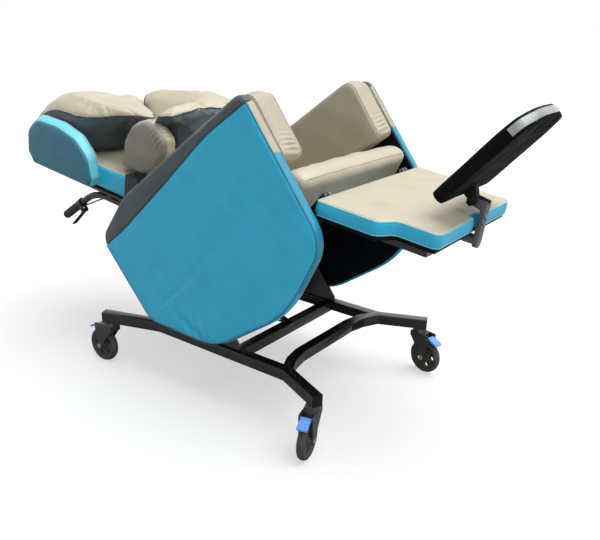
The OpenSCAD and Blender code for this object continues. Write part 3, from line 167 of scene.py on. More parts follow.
# %% Outlines
def rounded(corners, radii, steps):
    """Closed outline: each corner c is replaced by an arc of its radius between its two neighbours."""
    corners = np.array(corners, float)
    line = []
    for before, c, after, r in zip(np.roll(corners, 1, 0), corners, np.roll(corners, -1, 0), radii):
        u, w = (before - c)/np.linalg.norm(before - c), (after - c)/np.linalg.norm(after - c)
        half = math.acos(np.clip(u @ w, -1, 1))/2
        hub = c + (u + w)/np.linalg.norm(u + w)*r/math.sin(half)
        start, end = c + u*r/math.tan(half) - hub, c + w*r/math.tan(half) - hub
        a, b = math.atan2(start[1], start[0]), math.atan2(end[1], end[0])
        angles = a + ((b - a + math.pi) % (2*math.pi) - math.pi)*np.linspace(0, 1, steps)
        line.append(hub + r*np.stack([np.cos(angles), np.sin(angles)], 1))
    return np.vstack(line)

def evenly(line, count, closed=False):
    """The same line with count points at equal steps of its length."""
    if closed:
        line = np.vstack([line, line[:1]])
    run = np.concatenate([[0], np.cumsum(np.linalg.norm(np.diff(line, axis=0), axis=1))])
    at = np.linspace(0, run[-1], count + 1)[:-1] if closed else np.linspace(0, run[-1], count)
    return np.stack([np.interp(at, run, line[:, k]) for k in range(line.shape[1])], 1)

def outline(corners, radii, steps, count):
    """Closed outline with rounded corners and count points at equal steps."""
    return evenly(rounded(corners, radii, steps), count, True)

def patch(line, corners, counts):
    """Coons patch inside a closed outline: opposite sides blended, less the blend of the four corners.

    The outline is cut where it comes closest to the corners, and each side gets its count of points."""
    marks = np.sort(np.linalg.norm(line[:, None] - corners, axis=-1).argmin(0))
    sides = []
    for k in range(4):
        index = marks[k] + np.arange((marks[(k + 1) % 4] - marks[k]) % len(line) + 1)
        sides.append(evenly(line[index % len(line)], counts[k % 2]))
    low, rear, high, front = sides[0], sides[1], sides[2][::-1], sides[3][::-1]
    u = np.linspace(0, 1, len(low))[:, None, None]
    v = np.linspace(0, 1, len(rear))[None, :, None]
    ruled = (1 - v)*low[:, None] + v*high[:, None] + (1 - u)*front[None] + u*rear[None]
    corners = (1 - u)*((1 - v)*low[0] + v*high[0]) + u*((1 - v)*low[-1] + v*high[-1])
    return ruled - corners

def edge_distance(points, line, closed):
    """Distance of each point from a line or closed outline, the least over all its segments."""
    a = line if closed else line[:-1]
    ab = (np.roll(line, -1, 0) if closed else line[1:]) - a
    flat = points.reshape(-1, 1, 2)
    t = np.clip(((flat - a)*ab).sum(-1)/np.maximum((ab*ab).sum(-1), 1e-9), 0, 1)
    return np.linalg.norm(flat - a - t[..., None]*ab, axis=-1).min(1).reshape(points.shape[:-1])

# %% [markdown]
# Upholstery is never quite even. Folds are sums of a few waves in seeded random directions, and a
# crease is a smooth valley along a line, deepest in its middle.

# %% Folds and creases
def waves(points, size, seed):
    """Smooth random field from -1 to 1: seven sine waves of about the given size, in mm."""
    chance = np.random.default_rng(seed)
    total = 0
    for _ in range(7):
        direction = chance.normal(size=points.shape[-1])
        direction *= 2*math.pi/size/np.linalg.norm(direction)*chance.uniform(0.6, 1.5)
        total = total + np.sin(points @ direction + chance.uniform(0, 6.28))
    return total/3.2

def crease(points, start, end, width, depth):
    """Valley along a segment: depth times exp(-(distance/width) squared), fading at both ends."""
    a, b = np.array(start, float), np.array(end, float)
    t = ((points - a) @ (b - a))/((b - a) @ (b - a))
    gap = np.linalg.norm(points - a - np.clip(t, 0, 1)[..., None]*(b - a), axis=-1)
    fade = np.sin(math.pi*np.clip(t, 0, 1))**0.5 + 0.15
    return -depth*np.exp(-(gap/width)**2)*fade

def wall_waves(rim, t, width, size, seed):
    """Waves of a wall that is width mm wide between its seams, and they die away at both."""
    y, z = rim.T[:, None]
    return np.sin(math.pi*t)*waves(np.stack(np.broadcast_arrays(y, z, width*t), -1), size, seed)

def bulge(height):
    """Wall that swells evenly between its seams: height times a sine to the power 0.6."""
    return lambda rim, t: height*np.sin(math.pi*t)**0.6 + 0*rim[:, 0]

# %% [markdown]
# A boxed pad has two faces and a wall between them. Each face is a patch that rises over its rounded
# edge to a soft crown, by its distance from the outline; the wall joins the two rims in a few steps.

# %% Padded shapes
def rim_normals(rim):
    """Outward normals of a closed rim, from the direction between its neighbours."""
    ahead = np.roll(rim, -2, 0) - np.roll(rim, 2, 0)
    size = np.linalg.norm(ahead, axis=1, keepdims=True)
    out = np.stack([ahead[:, 1], -ahead[:, 0]], 1)/np.maximum(size, 1e-9)
    area = (rim[:, 0]*np.roll(rim[:, 1], -1) - rim[:, 1]*np.roll(rim[:, 0], -1)).sum()
    return out if area > 0 else -out

def drop(depth, edge):
    """How far a rounded edge lies below its face at a depth from the outline."""
    near = 1 - np.clip(depth/edge, 0, 1)
    return edge*(1 - np.sqrt(1 - near**2))

def boxed_pad(
    line, corners, levels, edges, crowns, counts, walls, relief=None, wall_relief=None,
    axes=(0, 1, 2), reach=70, borders=None
):
    """Points, faces and regions (0 low face, 1 wall, 2 high face) of a boxed pad.

    A face lies at its level less the drop of every border's rounded edge, and swells by its crown as
    the distance grows to reach. Borders are (line, closed, low edge, high edge), and the outline with
    its two edges is the only one where none are given. It lies in axes[1] and axes[2], and the levels
    along axes[0]. The grid's corners are the points of the outline closest to the four given."""
    rim_u, rim_v = counts
    borders = borders or [(line, True, *edges)]
    grid = patch(line, corners, counts)
    gaps = [edge_distance(grid, border, closed) for border, closed, _, _ in borders]
    inner = np.min(gaps, 0)
    swell = 1 - (1 - np.clip(inner/reach, 0, 1))**2
    sheets = []
    for level, which, crown, way in zip(levels, (2, 3), crowns, (-1, 1)):
        height = crown*swell - sum(drop(gap, border[which]) for gap, border in zip(gaps, borders))
        if relief:
            height = height + relief(grid, way)*np.clip(inner/20, 0, 1)
        sheets.append(np.concatenate([grid, (level + way*height)[..., None]], -1))
    rim = np.concatenate([
        np.arange(rim_u)*rim_v, (rim_u - 1)*rim_v + np.arange(1, rim_v),
        np.arange(rim_u - 2, -1, -1)*rim_v + rim_v - 1, np.arange(rim_v - 2, 0, -1)
    ])
    first, last = (sheet.reshape(-1, 3)[rim] for sheet in sheets)
    t = np.linspace(0, 1, walls + 2)[1:-1, None]
    wall = first[None] + t[..., None]*(last - first)[None]
    if wall_relief:
        edge = first[:, :2]
        wall[..., :2] += wall_relief(edge, t)[..., None]*rim_normals(edge)[None]
    points = np.vstack([sheets[0].reshape(-1, 3), sheets[1].reshape(-1, 3), wall.reshape(-1, 3)])
    size = rim_u*rim_v
    rings = np.vstack([rim[None], 2*size + np.arange(walls*len(rim)).reshape(walls, -1), size + rim[None]])
    belt = quads(rings, True)
    face = quads(np.arange(size).reshape(rim_u, rim_v))
    faces = np.vstack([face[:, ::-1], belt, face + size])
    regions = np.repeat([0, 1, 2], [len(face), len(belt), len(face)])
    ordered = np.empty_like(points)
    ordered[:, axes[1]], ordered[:, axes[2]], ordered[:, axes[0]] = points.T
    return ordered, faces, regions

# %% [markdown]
# Piping is a thin cord sewn into a seam. It is a round tube carried along the seam's own line, and
# its end rings are closed, or joined where the line runs right round.

# %% Tubes
def tube(path, radius, across, closed=False):
    """Points and faces of a tube: rings square to the path, turned by a direction it never follows."""
    sides = 10
    ahead = np.roll(path, -1, 0) - np.roll(path, 1, 0) if closed else np.gradient(path, axis=0)
    ahead = ahead/np.linalg.norm(ahead, axis=1, keepdims=True)
    side = np.cross(ahead, across)
    side = side/np.linalg.norm(side, axis=1, keepdims=True)
    over = np.cross(ahead, side)
    turn = np.linspace(0, 2*math.pi, sides, endpoint=False)[:, None]
    rings = path[:, None] + radius*(np.cos(turn)*side[:, None] + np.sin(turn)*over[:, None])
    points = rings.reshape(-1, 3)
    index = np.arange(len(points)).reshape(-1, sides)
    if closed:
        return points, quads(np.vstack([index, index[:1]]), True)
    return points, quads(index, True).tolist() + [index[0, ::-1].tolist(), index[-1].tolist()]

def inset(line, depth, closed):
    """The outline moved inwards by a depth, along the normals of its own direction."""
    ahead = np.roll(line, -3, 0) - np.roll(line, 3, 0) if closed else np.gradient(line, axis=0)
    inwards = np.stack([-ahead[:, 1], ahead[:, 0]], 1)/np.linalg.norm(ahead, axis=1, keepdims=True)
    way = np.sign(((line.mean(0) - line)*inwards).sum(1).mean())
    return line + way*depth*inwards

def piping(
    name, line, level, depth, radius, count, group, material, slot="teal_vinyl", closed=True,
    flat=False, bend=None
):
    """Cord along a line, inset by a depth, at a level across X, or along Z where it lies flat."""
    trim = inset(evenly(line, count, closed), depth, closed)
    levels = np.full(len(trim), level)
    path = np.column_stack([trim, levels] if flat else [levels, trim])
    if bend:
        path = bend(path)
    shape = tube(path, radius, (0, 0, 1) if flat else (1, 0, 0), closed)
    return make_piece(name, *shape, group, [material], slot)

# %% [markdown]
# Coated upholstery cloth has a fine pebbled grain under a soft sheen. One node group makes the grain
# and a broad unevenness, and each colour of cloth uses it with its own strength.

# %% Grain and wear groups
def linear(colour):
    """Screen colour from 0 to 255 to the linear values that shaders take."""
    c = np.array(colour)/255
    return (*np.where(c <= 0.04045, c/12.92, ((c + 0.055)/1.055)**2.4), 1.0)

def tuned(node, **settings):
    """Sets a node: names with a capital or a number are its sockets, the others its properties."""
    for key, value in settings.items():
        if key[0].isupper() or key[0] == "_":
            node.inputs[int(key[1:]) if key[0] == "_" else key.replace("_", " ")].default_value = value
        else:
            setattr(node, key, value)
    return node

def node_of(tree, kind, **settings):
    """Adds a node of a kind, with its settings."""
    return tuned(tree.nodes.new(kind), **settings)

def wired(tree, *pairs):
    """Links outputs to inputs, given in pairs."""
    for source, target in pairs:
        tree.links.new(source, target)

def grain_group():
    """Pebbled height from cells and noise, and a broad blotch mask for colour and gloss."""
    tree = bpy.data.node_groups.new("pebbled_grain", "ShaderNodeTree")
    for way, labels in (("INPUT", ("Grain Scale", "Blotch Scale")), ("OUTPUT", ("Height", "Blotch"))):
        for label in labels:
            tree.interface.new_socket(label, in_out=way, socket_type="NodeSocketFloat")
    start, end = tree.nodes.new("NodeGroupInput"), tree.nodes.new("NodeGroupOutput")
    place = tree.nodes.new("ShaderNodeTexCoord")
    cells = node_of(tree, "ShaderNodeTexVoronoi", feature="SMOOTH_F1", Smoothness=0.6)
    noise = node_of(tree, "ShaderNodeTexNoise", Detail=3.0)
    blotch = node_of(tree, "ShaderNodeTexNoise", Detail=4.0, Roughness=0.6)
    join = node_of(tree, "ShaderNodeMath", operation="MULTIPLY_ADD", _1=0.6)
    for texture, scale in ((cells, "Grain Scale"), (noise, "Grain Scale"), (blotch, "Blotch Scale")):
        spot = (place.outputs["Object"], texture.inputs["Vector"])
        wired(tree, spot, (start.outputs[scale], texture.inputs["Scale"]))
    wired(
        tree, (cells.outputs["Distance"], join.inputs[0]), (noise.outputs["Fac"], join.inputs[2]),
        (join.outputs[0], end.inputs["Height"]), (blotch.outputs["Fac"], end.inputs["Blotch"])
    )
    return tree

pebbled_grain = grain_group()

def grained(name, low, high, spread, gloss, bump, grain, blotch, **shading):
    """Material whose colour, gloss and bump all follow the grain group.

    The colour goes from low to high over the spread of the blotch mask and the roughness from gloss[0]
    to gloss[1]. bump is a strength and a height in metres, and shading sets the shader itself."""
    material = bpy.data.materials.new(name)
    material.use_nodes = True
    tree = material.node_tree
    shader = tuned(tree.nodes["Principled BSDF"], **shading)
    group = node_of(tree, "ShaderNodeGroup", node_tree=pebbled_grain, Grain_Scale=grain, Blotch_Scale=blotch)
    mix = node_of(tree, "ShaderNodeMix", data_type="RGBA", _6=linear(low), _7=linear(high))
    mask = node_of(tree, "ShaderNodeMapRange", _1=spread[0], _2=spread[1])
    rough = node_of(tree, "ShaderNodeMapRange", _1=0.3, _2=0.7, _3=gloss[0], _4=gloss[1])
    relief = node_of(tree, "ShaderNodeBump", Strength=bump[0], Distance=bump[1])
    wired(
        tree, (group.outputs["Blotch"], mask.inputs[0]), (mask.outputs[0], mix.inputs[0]),
        (mix.outputs[2], shader.inputs["Base Color"]), (group.outputs["Blotch"], rough.inputs[0]),
        (rough.outputs[0], shader.inputs["Roughness"]), (group.outputs["Height"], relief.inputs["Height"]),
        (relief.outputs[0], shader.inputs["Normal"])
    )
    return material

def upholstery(name, colour, shade, roughness=0.42, bump=0.12):
    """Coated cloth: two close colours, a pebbled bump and a light coat."""
    return grained(
        name, shade, colour, (0.35, 0.62), (roughness + 0.07, roughness - 0.05), (bump, 0.0006), 420.0, 9.0,
        Coat_Weight=0.12, Coat_Roughness=0.35, Sheen_Weight=0.06, Specular_IOR_Level=0.45
    )

teal = upholstery("teal_cloth", (38, 186, 226), (34, 180, 220))
# Painted shade: a darker teal for the wings' outer faces and their outer cord.
teal_wing_shade = upholstery("teal_cloth_wing_painted_shade", (44, 116, 138), (38, 108, 130))
# Painted shade: a darker teal for the lower part of the arm panels' front wall.
teal_front_shade = upholstery("teal_cloth_front_painted_shade", (28, 146, 178), (24, 138, 170))
# Painted light: a lighter, paler teal for the wings' rims.
teal_wing_highlight = upholstery("teal_cloth_wing_rim_painted_light", (112, 210, 222), (106, 202, 214))
cream = upholstery("warm_grey_cloth", (196, 188, 166), (189, 181, 159), roughness=0.46)
# Painted shade: a darker copy of the warm grey for the armrests, the arm panels' front and the lateral pads'
# rims.
cream_half_shade = upholstery("warm_grey_cloth_painted_half_shade", (182, 174, 153), (175, 167, 146), roughness=0.46)
# Painted shade: a still darker warm grey for the lateral pads' outer faces.
cream_deep_shade = upholstery("warm_grey_cloth_painted_deep_shade", (142, 137, 125), (134, 130, 118), roughness=0.5)
# Charcoal: the arm bands' own cloth; on the pillows' lower parts it is partly a darker cloth and partly
# painted shade.
charcoal_and_shade = upholstery("charcoal_cloth_and_painted_shade", (70, 80, 86), (64, 74, 80), roughness=0.5)
piping_light = upholstery("light_teal_piping", (120, 212, 224), (100, 196, 210), bump=0.05)
piping_deep = upholstery("deep_teal_piping", (30, 124, 154), (26, 114, 144), bump=0.05)
piping_cream = upholstery("warm_grey_piping", (196, 189, 174), (180, 172, 158), bump=0.05)
piping_dark = upholstery("dark_piping", (50, 54, 58), (42, 45, 48), bump=0.05)
# Painted reflection: a light grey for the far edge of the footplate cover.
painted_sheen = upholstery("cover_edge_painted_sheen", (168, 172, 172), (112, 116, 117), roughness=0.3, bump=0.2)

# %% [markdown]
# Metal and moulded parts have their own small unevenness: powder coat shows a faint orange peel,
# moulded rubber is dusty and dull, and bare steel has a soft, even gloss.

# %% Hard finishes
def hard_finish(name, colour, roughness, metallic=0.0, coat=0.0, bump=0.04, size=180.0, worn=None, shine=0.5):
    """Hard surface: its gloss varies over a fine bump, and worn is the colour of places worn bare."""
    gloss = (roughness*0.85, roughness*1.25)
    return grained(
        name, colour, worn or colour, (0.55, 0.75), gloss, (bump, 0.0004), size, 24.0, Metallic=metallic,
        Coat_Weight=coat, Coat_Roughness=0.12, Specular_IOR_Level=shine
    )

powder_coat = hard_finish("black_powder_coat", (12, 15, 18), 0.25, coat=0.35, bump=0.1, size=260.0, shine=0.4)
strut_paint = hard_finish("strut_paint", (30, 30, 32), 0.35, coat=0.2)
fork_paint = hard_finish("fork_paint", (46, 46, 48), 0.42, worn=(64, 63, 60))
zinc = hard_finish("zinc_steel", (178, 180, 184), 0.32, metallic=1.0, bump=0.08, size=90.0)
hard_chrome = hard_finish("polished_rod", (205, 207, 211), 0.12, metallic=1.0, bump=0.0)
tyre_rubber = hard_finish("tyre_rubber", (62, 63, 58), 0.75, bump=0.3, worn=(84, 83, 76), size=340.0)
blue_plastic = hard_finish("blue_plastic", (92, 156, 244), 0.28, coat=0.3, bump=0.03, worn=(108, 168, 248))
grip_rubber = hard_finish("grip_rubber", (22, 22, 23), 0.6, bump=0.5, size=520.0)
black_plastic = hard_finish("black_plastic", (17, 18, 18), 0.52, bump=0.25, size=420.0, shine=0.18)
black_vinyl = hard_finish("black_cover", (9, 11, 12), 0.7, bump=0.25, size=420.0, shine=0.08)
bracket_grey = hard_finish("bracket_grey", (92, 94, 97), 0.34, metallic=0.6, bump=0.05)
# Near-black lining: partly its own dark cloth, partly painted shade in the recesses by the boards and under
# the legrest.
lining_and_shade = hard_finish("dark_lining_and_painted_shade", (6, 11, 17), 0.85, bump=0.3, size=600.0, shine=0.15)

# %% [markdown]
# The construction model's hard parts stay as they are and only take a finish. Their edges are sharp,
# so the big frames are copied, merged and given a small bevel that catches the light.

# %% Finishes on the frame
caster_finishes = (("fork", fork_paint), ("wheel", tyre_rubber), ("axle", zinc), ("pedal", blue_plastic))
for corner in ("front_right", "front_left", "rear_right", "rear_left"):
    for part, finish in caster_finishes:
        painted(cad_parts[f"{corner}_{part}"].data, [finish])
for finish, nodes in (
    (zinc, ["tilt_pins", "back_hinge_pins", "leg_hinge_pins", "foot_bolts"]),
    (strut_paint, ["tilt_cylinder", "recline_cylinder"]),
    (hard_chrome, ["tilt_rod", "recline_rod"]),
    (lining_and_shade, ["seat_board", "back_board", "leg_board", "right_arm_board", "left_arm_board"]),
    (black_plastic, ["rail_plugs", "foot_pin", "release_lever"]),
    (powder_coat, ["push_handles", "lever_clamp", "right_lateral_bracket", "left_lateral_bracket"]),
    (grip_rubber, ["right_grip", "left_grip"])
):
    for node in nodes:
        painted(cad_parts[node].data, [finish])

def softened(node, width, material, body):
    """Copy of a node with merged corners and a bevel of the given width, in metres."""
    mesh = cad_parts[node].data.copy()
    painted(mesh, [material])
    shell = bmesh.new()
    shell.from_mesh(mesh)
    bmesh.ops.remove_doubles(shell, verts=shell.verts, dist=2e-5)
    bmesh.ops.dissolve_limit(shell, angle_limit=0.02, verts=shell.verts, edges=shell.edges)
    shell.to_mesh(mesh)
    shell.free()
    smoothed(mesh)
    piece = added(node + "_softened", mesh)
    bevel = piece.modifiers.new("edges", "BEVEL")
    tuned(bevel, width=width, segments=3, limit_method="ANGLE", angle_limit=math.radians(35))
    bevel.harden_normals = True
    return seated(piece, body, [node])

for body, width in (("base", 0.0045), ("seat", 0.002), ("back", 0.002), ("leg", 0.002)):
    softened(body + "_frame", width, powder_coat, body)
softened("foot_bracket", 0.0015, bracket_grey, "foot_slide")
softened("footplate", 0.003, black_plastic, "foot")

# %% [markdown]
# The long sides of the seat are upholstered boards. Their outer cover is cut in two, a dark band above
# and the light panel below, and the seam between them sinks a few millimetres into the foam.

# %% Arm covers
arm_length, arm_front, arm_top, arm_height = 832.0, 564.0, 463.0, 606.0
arm_outer, arm_inner = 350, 319  # the cover's faces, in mm from the chair's middle
arm_edge, seam_edge = 15, 4.5  # the round of its outer edge, and of the sewn line
arm_corners = [[0, 1], [0.76, 1], [1.0, 0.90], [0.962, 0.344], [0.69, 0.03], [0.29, 0.0], [0, 0.20]]
arm_line = outline(
    [(s*arm_length - arm_front, arm_top - (1 - t)*arm_height) for s, t in arm_corners],
    np.array([0.066, 0.40, 0.09, 0.14, 0.40, 0.60, 0.19])*arm_height, 24, 900
)
band_marks = np.array([[-0.02, 0.06], [0.222, 0.051], [0.542, 0.106], [0.851, 0.151], [1.05, 0.156]])
band_line = band_marks*[arm_length, -arm_height] + [-arm_front, arm_top]

def band_height(y):
    """Height of the sewn line at y: straight between its marks, then eased by a running mean."""
    wide = y[..., None] + np.linspace(-45, 45, 13)
    return np.interp(wide, band_line[:, 0], band_line[:, 1]).mean(-1)

def cut_line(line, lower):
    """The outline's run below or above the sewn line, and the seam that closes it."""
    gap = (line[:, 1] - band_height(line[:, 0]))*(-1 if lower else 1)
    keep = gap > 0
    first = int(np.flatnonzero(keep & ~np.roll(keep, 1))[0])
    index = (first + np.arange(keep.sum())) % len(line)

    def crossing(inside, outside):
        """Where the outline meets the sewn line between two of its points."""
        t = gap[inside]/(gap[inside] - gap[outside])
        return line[inside] + t*(line[outside] - line[inside])

    start, end = crossing(index[0], index[0] - 1), crossing(index[-1], (index[-1] + 1) % len(line))
    y = np.linspace(end[0], start[0], 260)
    seam = np.stack([y, band_height(y)], 1)
    seam[0], seam[-1] = end, start
    return np.vstack([start[None], line[index], end[None]]), seam

def panel_relief(grid, way):
    """Taut cloth over foam: broad waves, the long diagonal crease, a dimple and ripples at the foot."""
    if way > 0:
        return 0
    ripples = np.sin(grid @ np.array([0.16, 0.05]))*np.exp(-(((grid - [62, -45])/60)**2).sum(-1))
    dimple = -2.4*np.exp(-(((grid - [78, 193])/[22, 16])**2).sum(-1))
    return (
        1.9*waves(grid, 330, 4) + 0.7*waves(grid, 90, 9) + 2.0*ripples + dimple
        + crease(grid, (160, 88), (-320, 158), 16, 3.0) + crease(grid, (-500, -20), (-330, -70), 14, 1.8)
        + crease(grid, (158, 86), (-34, 108), 7, 3.4) + crease(grid, (96, 30), (36, -92), 12, 4.2)
    )

def band_relief(grid, way):
    """The band is pulled over the board's edge, with short folds across it where it bends."""
    if way > 0:
        return 0
    rear_fold = crease(grid, (232, 430), (262, 352), 12, 3.0)
    return 1.4*waves(grid, 120, 21) + rear_fold + crease(grid, (-520, 462), (-470, 425), 10, 1.8)

def arm_cover(side, lower):
    """Panel or band: a boxed pad whose outer edge is round and whose seam is a shallow groove."""
    run, seam = cut_line(arm_line, lower)
    if lower:
        corners, crown, counts, relief = [(-564, -40), (225, 40)], 1.5, (90, 150), panel_relief
    else:
        corners, crown, counts, relief = [(-556, 455), (262, 392)], 4, (22, 240), band_relief
    shape = boxed_pad(
        np.vstack([run, seam[1:-1]]), [run[0], *corners, run[-1]], (-arm_outer, -arm_inner), None,
        (crown, 0), counts, 3, relief, borders=[(run, False, arm_edge, 2), (seam, False, seam_edge, 2)]
    )
    return mirrored(shape, side)

wrap_reach, wrap_front, wrap_top = 346, -400, 266  # mm: the front wall, and where its warm grey part begins
trim_depth = 5.5
for side, name in both_sides:
    shape = arm_cover(side, True)
    middle = shape[0][shape[1]].mean(1)
    front = (np.abs(middle[:, 0]) < wrap_reach) & (middle[:, 1] < wrap_front)
    # Front wall quads above wrap_top take the warm grey that wraps round; those below take the darker teal,
    # painted shade.
    front_wrap_and_shade = np.where(front, np.where(middle[:, 2] > wrap_top, 1, 2), 0)
    upholstered(
        name + "_arm_panel", shape, on_seat, [teal, cream_half_shade, teal_front_shade], "teal_vinyl", front_wrap_and_shade
    )
    upholstered(name + "_arm_band", arm_cover(side, False), on_seat, [charcoal_and_shade], "charcoal_vinyl")
    level = side*(arm_outer - drop(trim_depth, arm_edge) + 0.4)
    piping(
        name + "_arm_panel_piping", cut_line(arm_line, True)[0], level, trim_depth, 2.3, 420, on_seat,
        piping_deep, closed=False
    )

# %% [markdown]
# The armrest is a thick pad on the inner face of each side. It is boxed: two flat faces and a wide
# strip of lighter cloth that runs over the top and down the front, and gathers a little at the foot.

# %% Armrest pads
def armrest_wall(rim, t):
    """The strip swells between its seams, sags under the elbow and wrinkles at the lower front corner."""
    y, z = rim.T[:, None]
    swell = 6.5*np.sin(math.pi*t)**0.7
    foot = np.exp(-((z - 275)/38)**2)*np.exp(-((y + 556)/26)**2)
    folds = 3.0*foot*np.sin(z*0.42 + 3*t)*np.sin(math.pi*t)
    sag = -2.5*np.exp(-((y + 330)/120)**2)*(z > 440)*np.sin(math.pi*t)
    return swell + folds + sag + 1.0*wall_waves(rim, t, 90, 110, 33)

rest_outer, rest_inner, outer_round, inner_round = 311, 215, 10, 12  # mm
rest_line = outline(
    [(-564, 462), (-160, 462), (-160, 242), (-443, 242), (-560, 245)], [38, 30, 30, 60, 22], 16, 700
)
for side, name in both_sides:
    shape = boxed_pad(
        rest_line, [(-553, 451), (-169, 453), (-169, 251), (-550, 250)], (-rest_outer, -rest_inner),
        (outer_round, inner_round), (0, 3), (110, 64), 17,
        lambda grid, way: 1.2*waves(grid, 150, 12)*(way > 0), armrest_wall
    )
    # The whole armrest takes the darker copy of the warm grey, painted shade.
    upholstered(
        name + "_arm_pad", mirrored(shape, side), on_seat, [cream_half_shade], "cream_vinyl",
        name=name + "_armrest"
    )
    for where, level in (("outer", rest_outer - 0.55*outer_round), ("inner", rest_inner + 0.55*inner_round)):
        piping(
            f"{name}_armrest_piping_{where}", rest_line, side*level, 1.5, 2.2, 360, on_seat,
            piping_cream, "cream_vinyl"
        )

# %% [markdown]
# The seat cushion is one foam block, its cloth drawn round it from front to rear. Its front edge is a full
# roll, and the cloth dips where a person sits and lifts again beside the arms.

# %% Seat cushion
def seat_wall(rim, t):
    """Across the cushion: a shallow dish on top, a fuller roll in front, and soft cross folds."""
    y, z = rim.T[:, None]
    across = np.sin(math.pi*t)
    top = 1/(1 + np.exp(-(z - 200)/20))
    roll = np.exp(-((y + 560)/45)**2)
    dish = -5*top*np.exp(-((y + 300)/130)**2)*across**2
    over = np.stack(np.broadcast_arrays(y, 2*seat_half*t), -1)
    folds = 1.6*roll*np.sin(26*t + 0.02*z)*across + crease(over, (-556, 60), (-470, 150), 14, 2.5)
    swell = 5*across**0.5*(0.4 + 0.6*roll)
    return swell + dish + folds + 1.3*wall_waves(rim, t, 2*seat_half, 160, 41)

seat_half, seat_level = 308, 301  # mm, half the cloth's width and half the foam's
seat_line = outline(
    [(-101, 107.6), (-101, 223.6), (-440, 223.6), (-572, 212), (-572, 153.2), (-485, 107.6)],
    [14, 34, 160, 56, 30, 40], 16, 520
)
shape = boxed_pad(
    seat_line, [(-105, 112), (-111, 214), (-561, 208), (-485, 111)], (-seat_level, seat_level),
    (24, 24), (4, 4), (36, 120), 90, None, seat_wall
)
upholstered("seat_cushion", shape, on_seat, [cream], "cream_vinyl")

# %% [markdown]
# The back has a firm cushion over its board, covered in the lighter teal on its sides and warm grey in
# front. Two padded wings stand beside the head. Their outer faces are painted a darker teal as painted
# shade, and their rims a lighter teal as painted light.

# %% Back cushion and wings
back_level = 245  # mm, half the back's width
back_line = outline([(38, -80), (38, 760), (-36, 760), (-36, -80)], [24, 10, 10, 30], 12, 620)

def back_wall(rim, t):
    """The cushion's long strip is nearly flat, with faint waves."""
    return 1.5*np.sin(math.pi*t)**0.5 + 0.8*wall_waves(rim, t, 2*back_level, 180, 51)

shape = boxed_pad(
    back_line, [(33, -75), (36, 758), (-34, 758), (-28, -72)], (-back_level, back_level),
    (9, 9), (1.5, 1.5), (150, 18), 40, lambda grid, way: 0.6*waves(grid, 90, 52), back_wall
)
upholstered(
    "back_cushion", shape, on_back, [teal, cream], "teal_vinyl", np.where(shape[2] == 1, 1, 0)
)
for side, name in both_sides:
    piping(
        "back_cushion_piping_" + name, back_line, side*(back_level - 4.5), 0.8, 2.0, 360, on_back,
        piping_light
    )

wing_outer, wing_inner, wing_trim, crown_height = 295.3, 245.3, 2.7, 620  # mm
wing_line = outline(
    [
        (33, 426), (33, 732), (-6, 764), (-80, 766), (-128, 722), (-131, 610), (-112, 506), (-66, 442),
        (2, 418)
    ], [8, 22, 26, 40, 60, 120, 90, 60, 16], 18, 640
)

def flared(points):
    """The wing's rim leans out towards its inner face: it rises at the brow and runs on past the crown."""
    u = np.clip((points[:, 0:1] + wing_outer)/(wing_outer - wing_inner), 0, 1)
    brow, crown = np.minimum(points[:, 1:2], 0), np.maximum(points[:, 2:3] - crown_height, 0)
    return points + np.hstack([0*u, 0.15*u*brow, 0.26*u*crown])

for side, name in both_sides:
    shape = boxed_pad(
        wing_line, [(30, 428), (20, 742), (-118, 728), (-30, 432)], (-wing_outer, -wing_inner),
        (9, 9), (5, 3), (90, 70), 9, lambda grid, way: 0.9*waves(grid, 120, 61), bulge(2.2)
    )
    # The outer face takes the darker teal as painted shade, and the rim the lighter teal as painted light.
    upholstered(
        name + "_wing", mirrored((flared(shape[0]), *shape[1:]), side), on_back,
        [teal_wing_shade, teal_wing_highlight, teal], "teal_vinyl", regions=shape[2]
    )
    # The outer cord takes the same darker teal, painted shade.
    for where, level, cord in (
        ("outer", -wing_outer + wing_trim, teal_wing_shade), ("inner", -wing_inner - wing_trim, piping_cream)
    ):
        piping(
            f"{name}_wing_piping_{where}", wing_line, level, 3.0, 1.8, 300, on_back, cord,
            bend=lambda path: flared(path)*[-side, 1, 1]
        )

# %% [markdown]
# Two loose pillows lie on the back. Each is sewn from a top and a deep lower part. The cloth of the top
# is gathered into the seam, so short folds run up from it, and the corners stand out as small points.

# %% Pillow shape
def signed_root(v):
    """Square root of the size, with the sign kept."""
    return np.sign(v)*np.sqrt(np.abs(v))

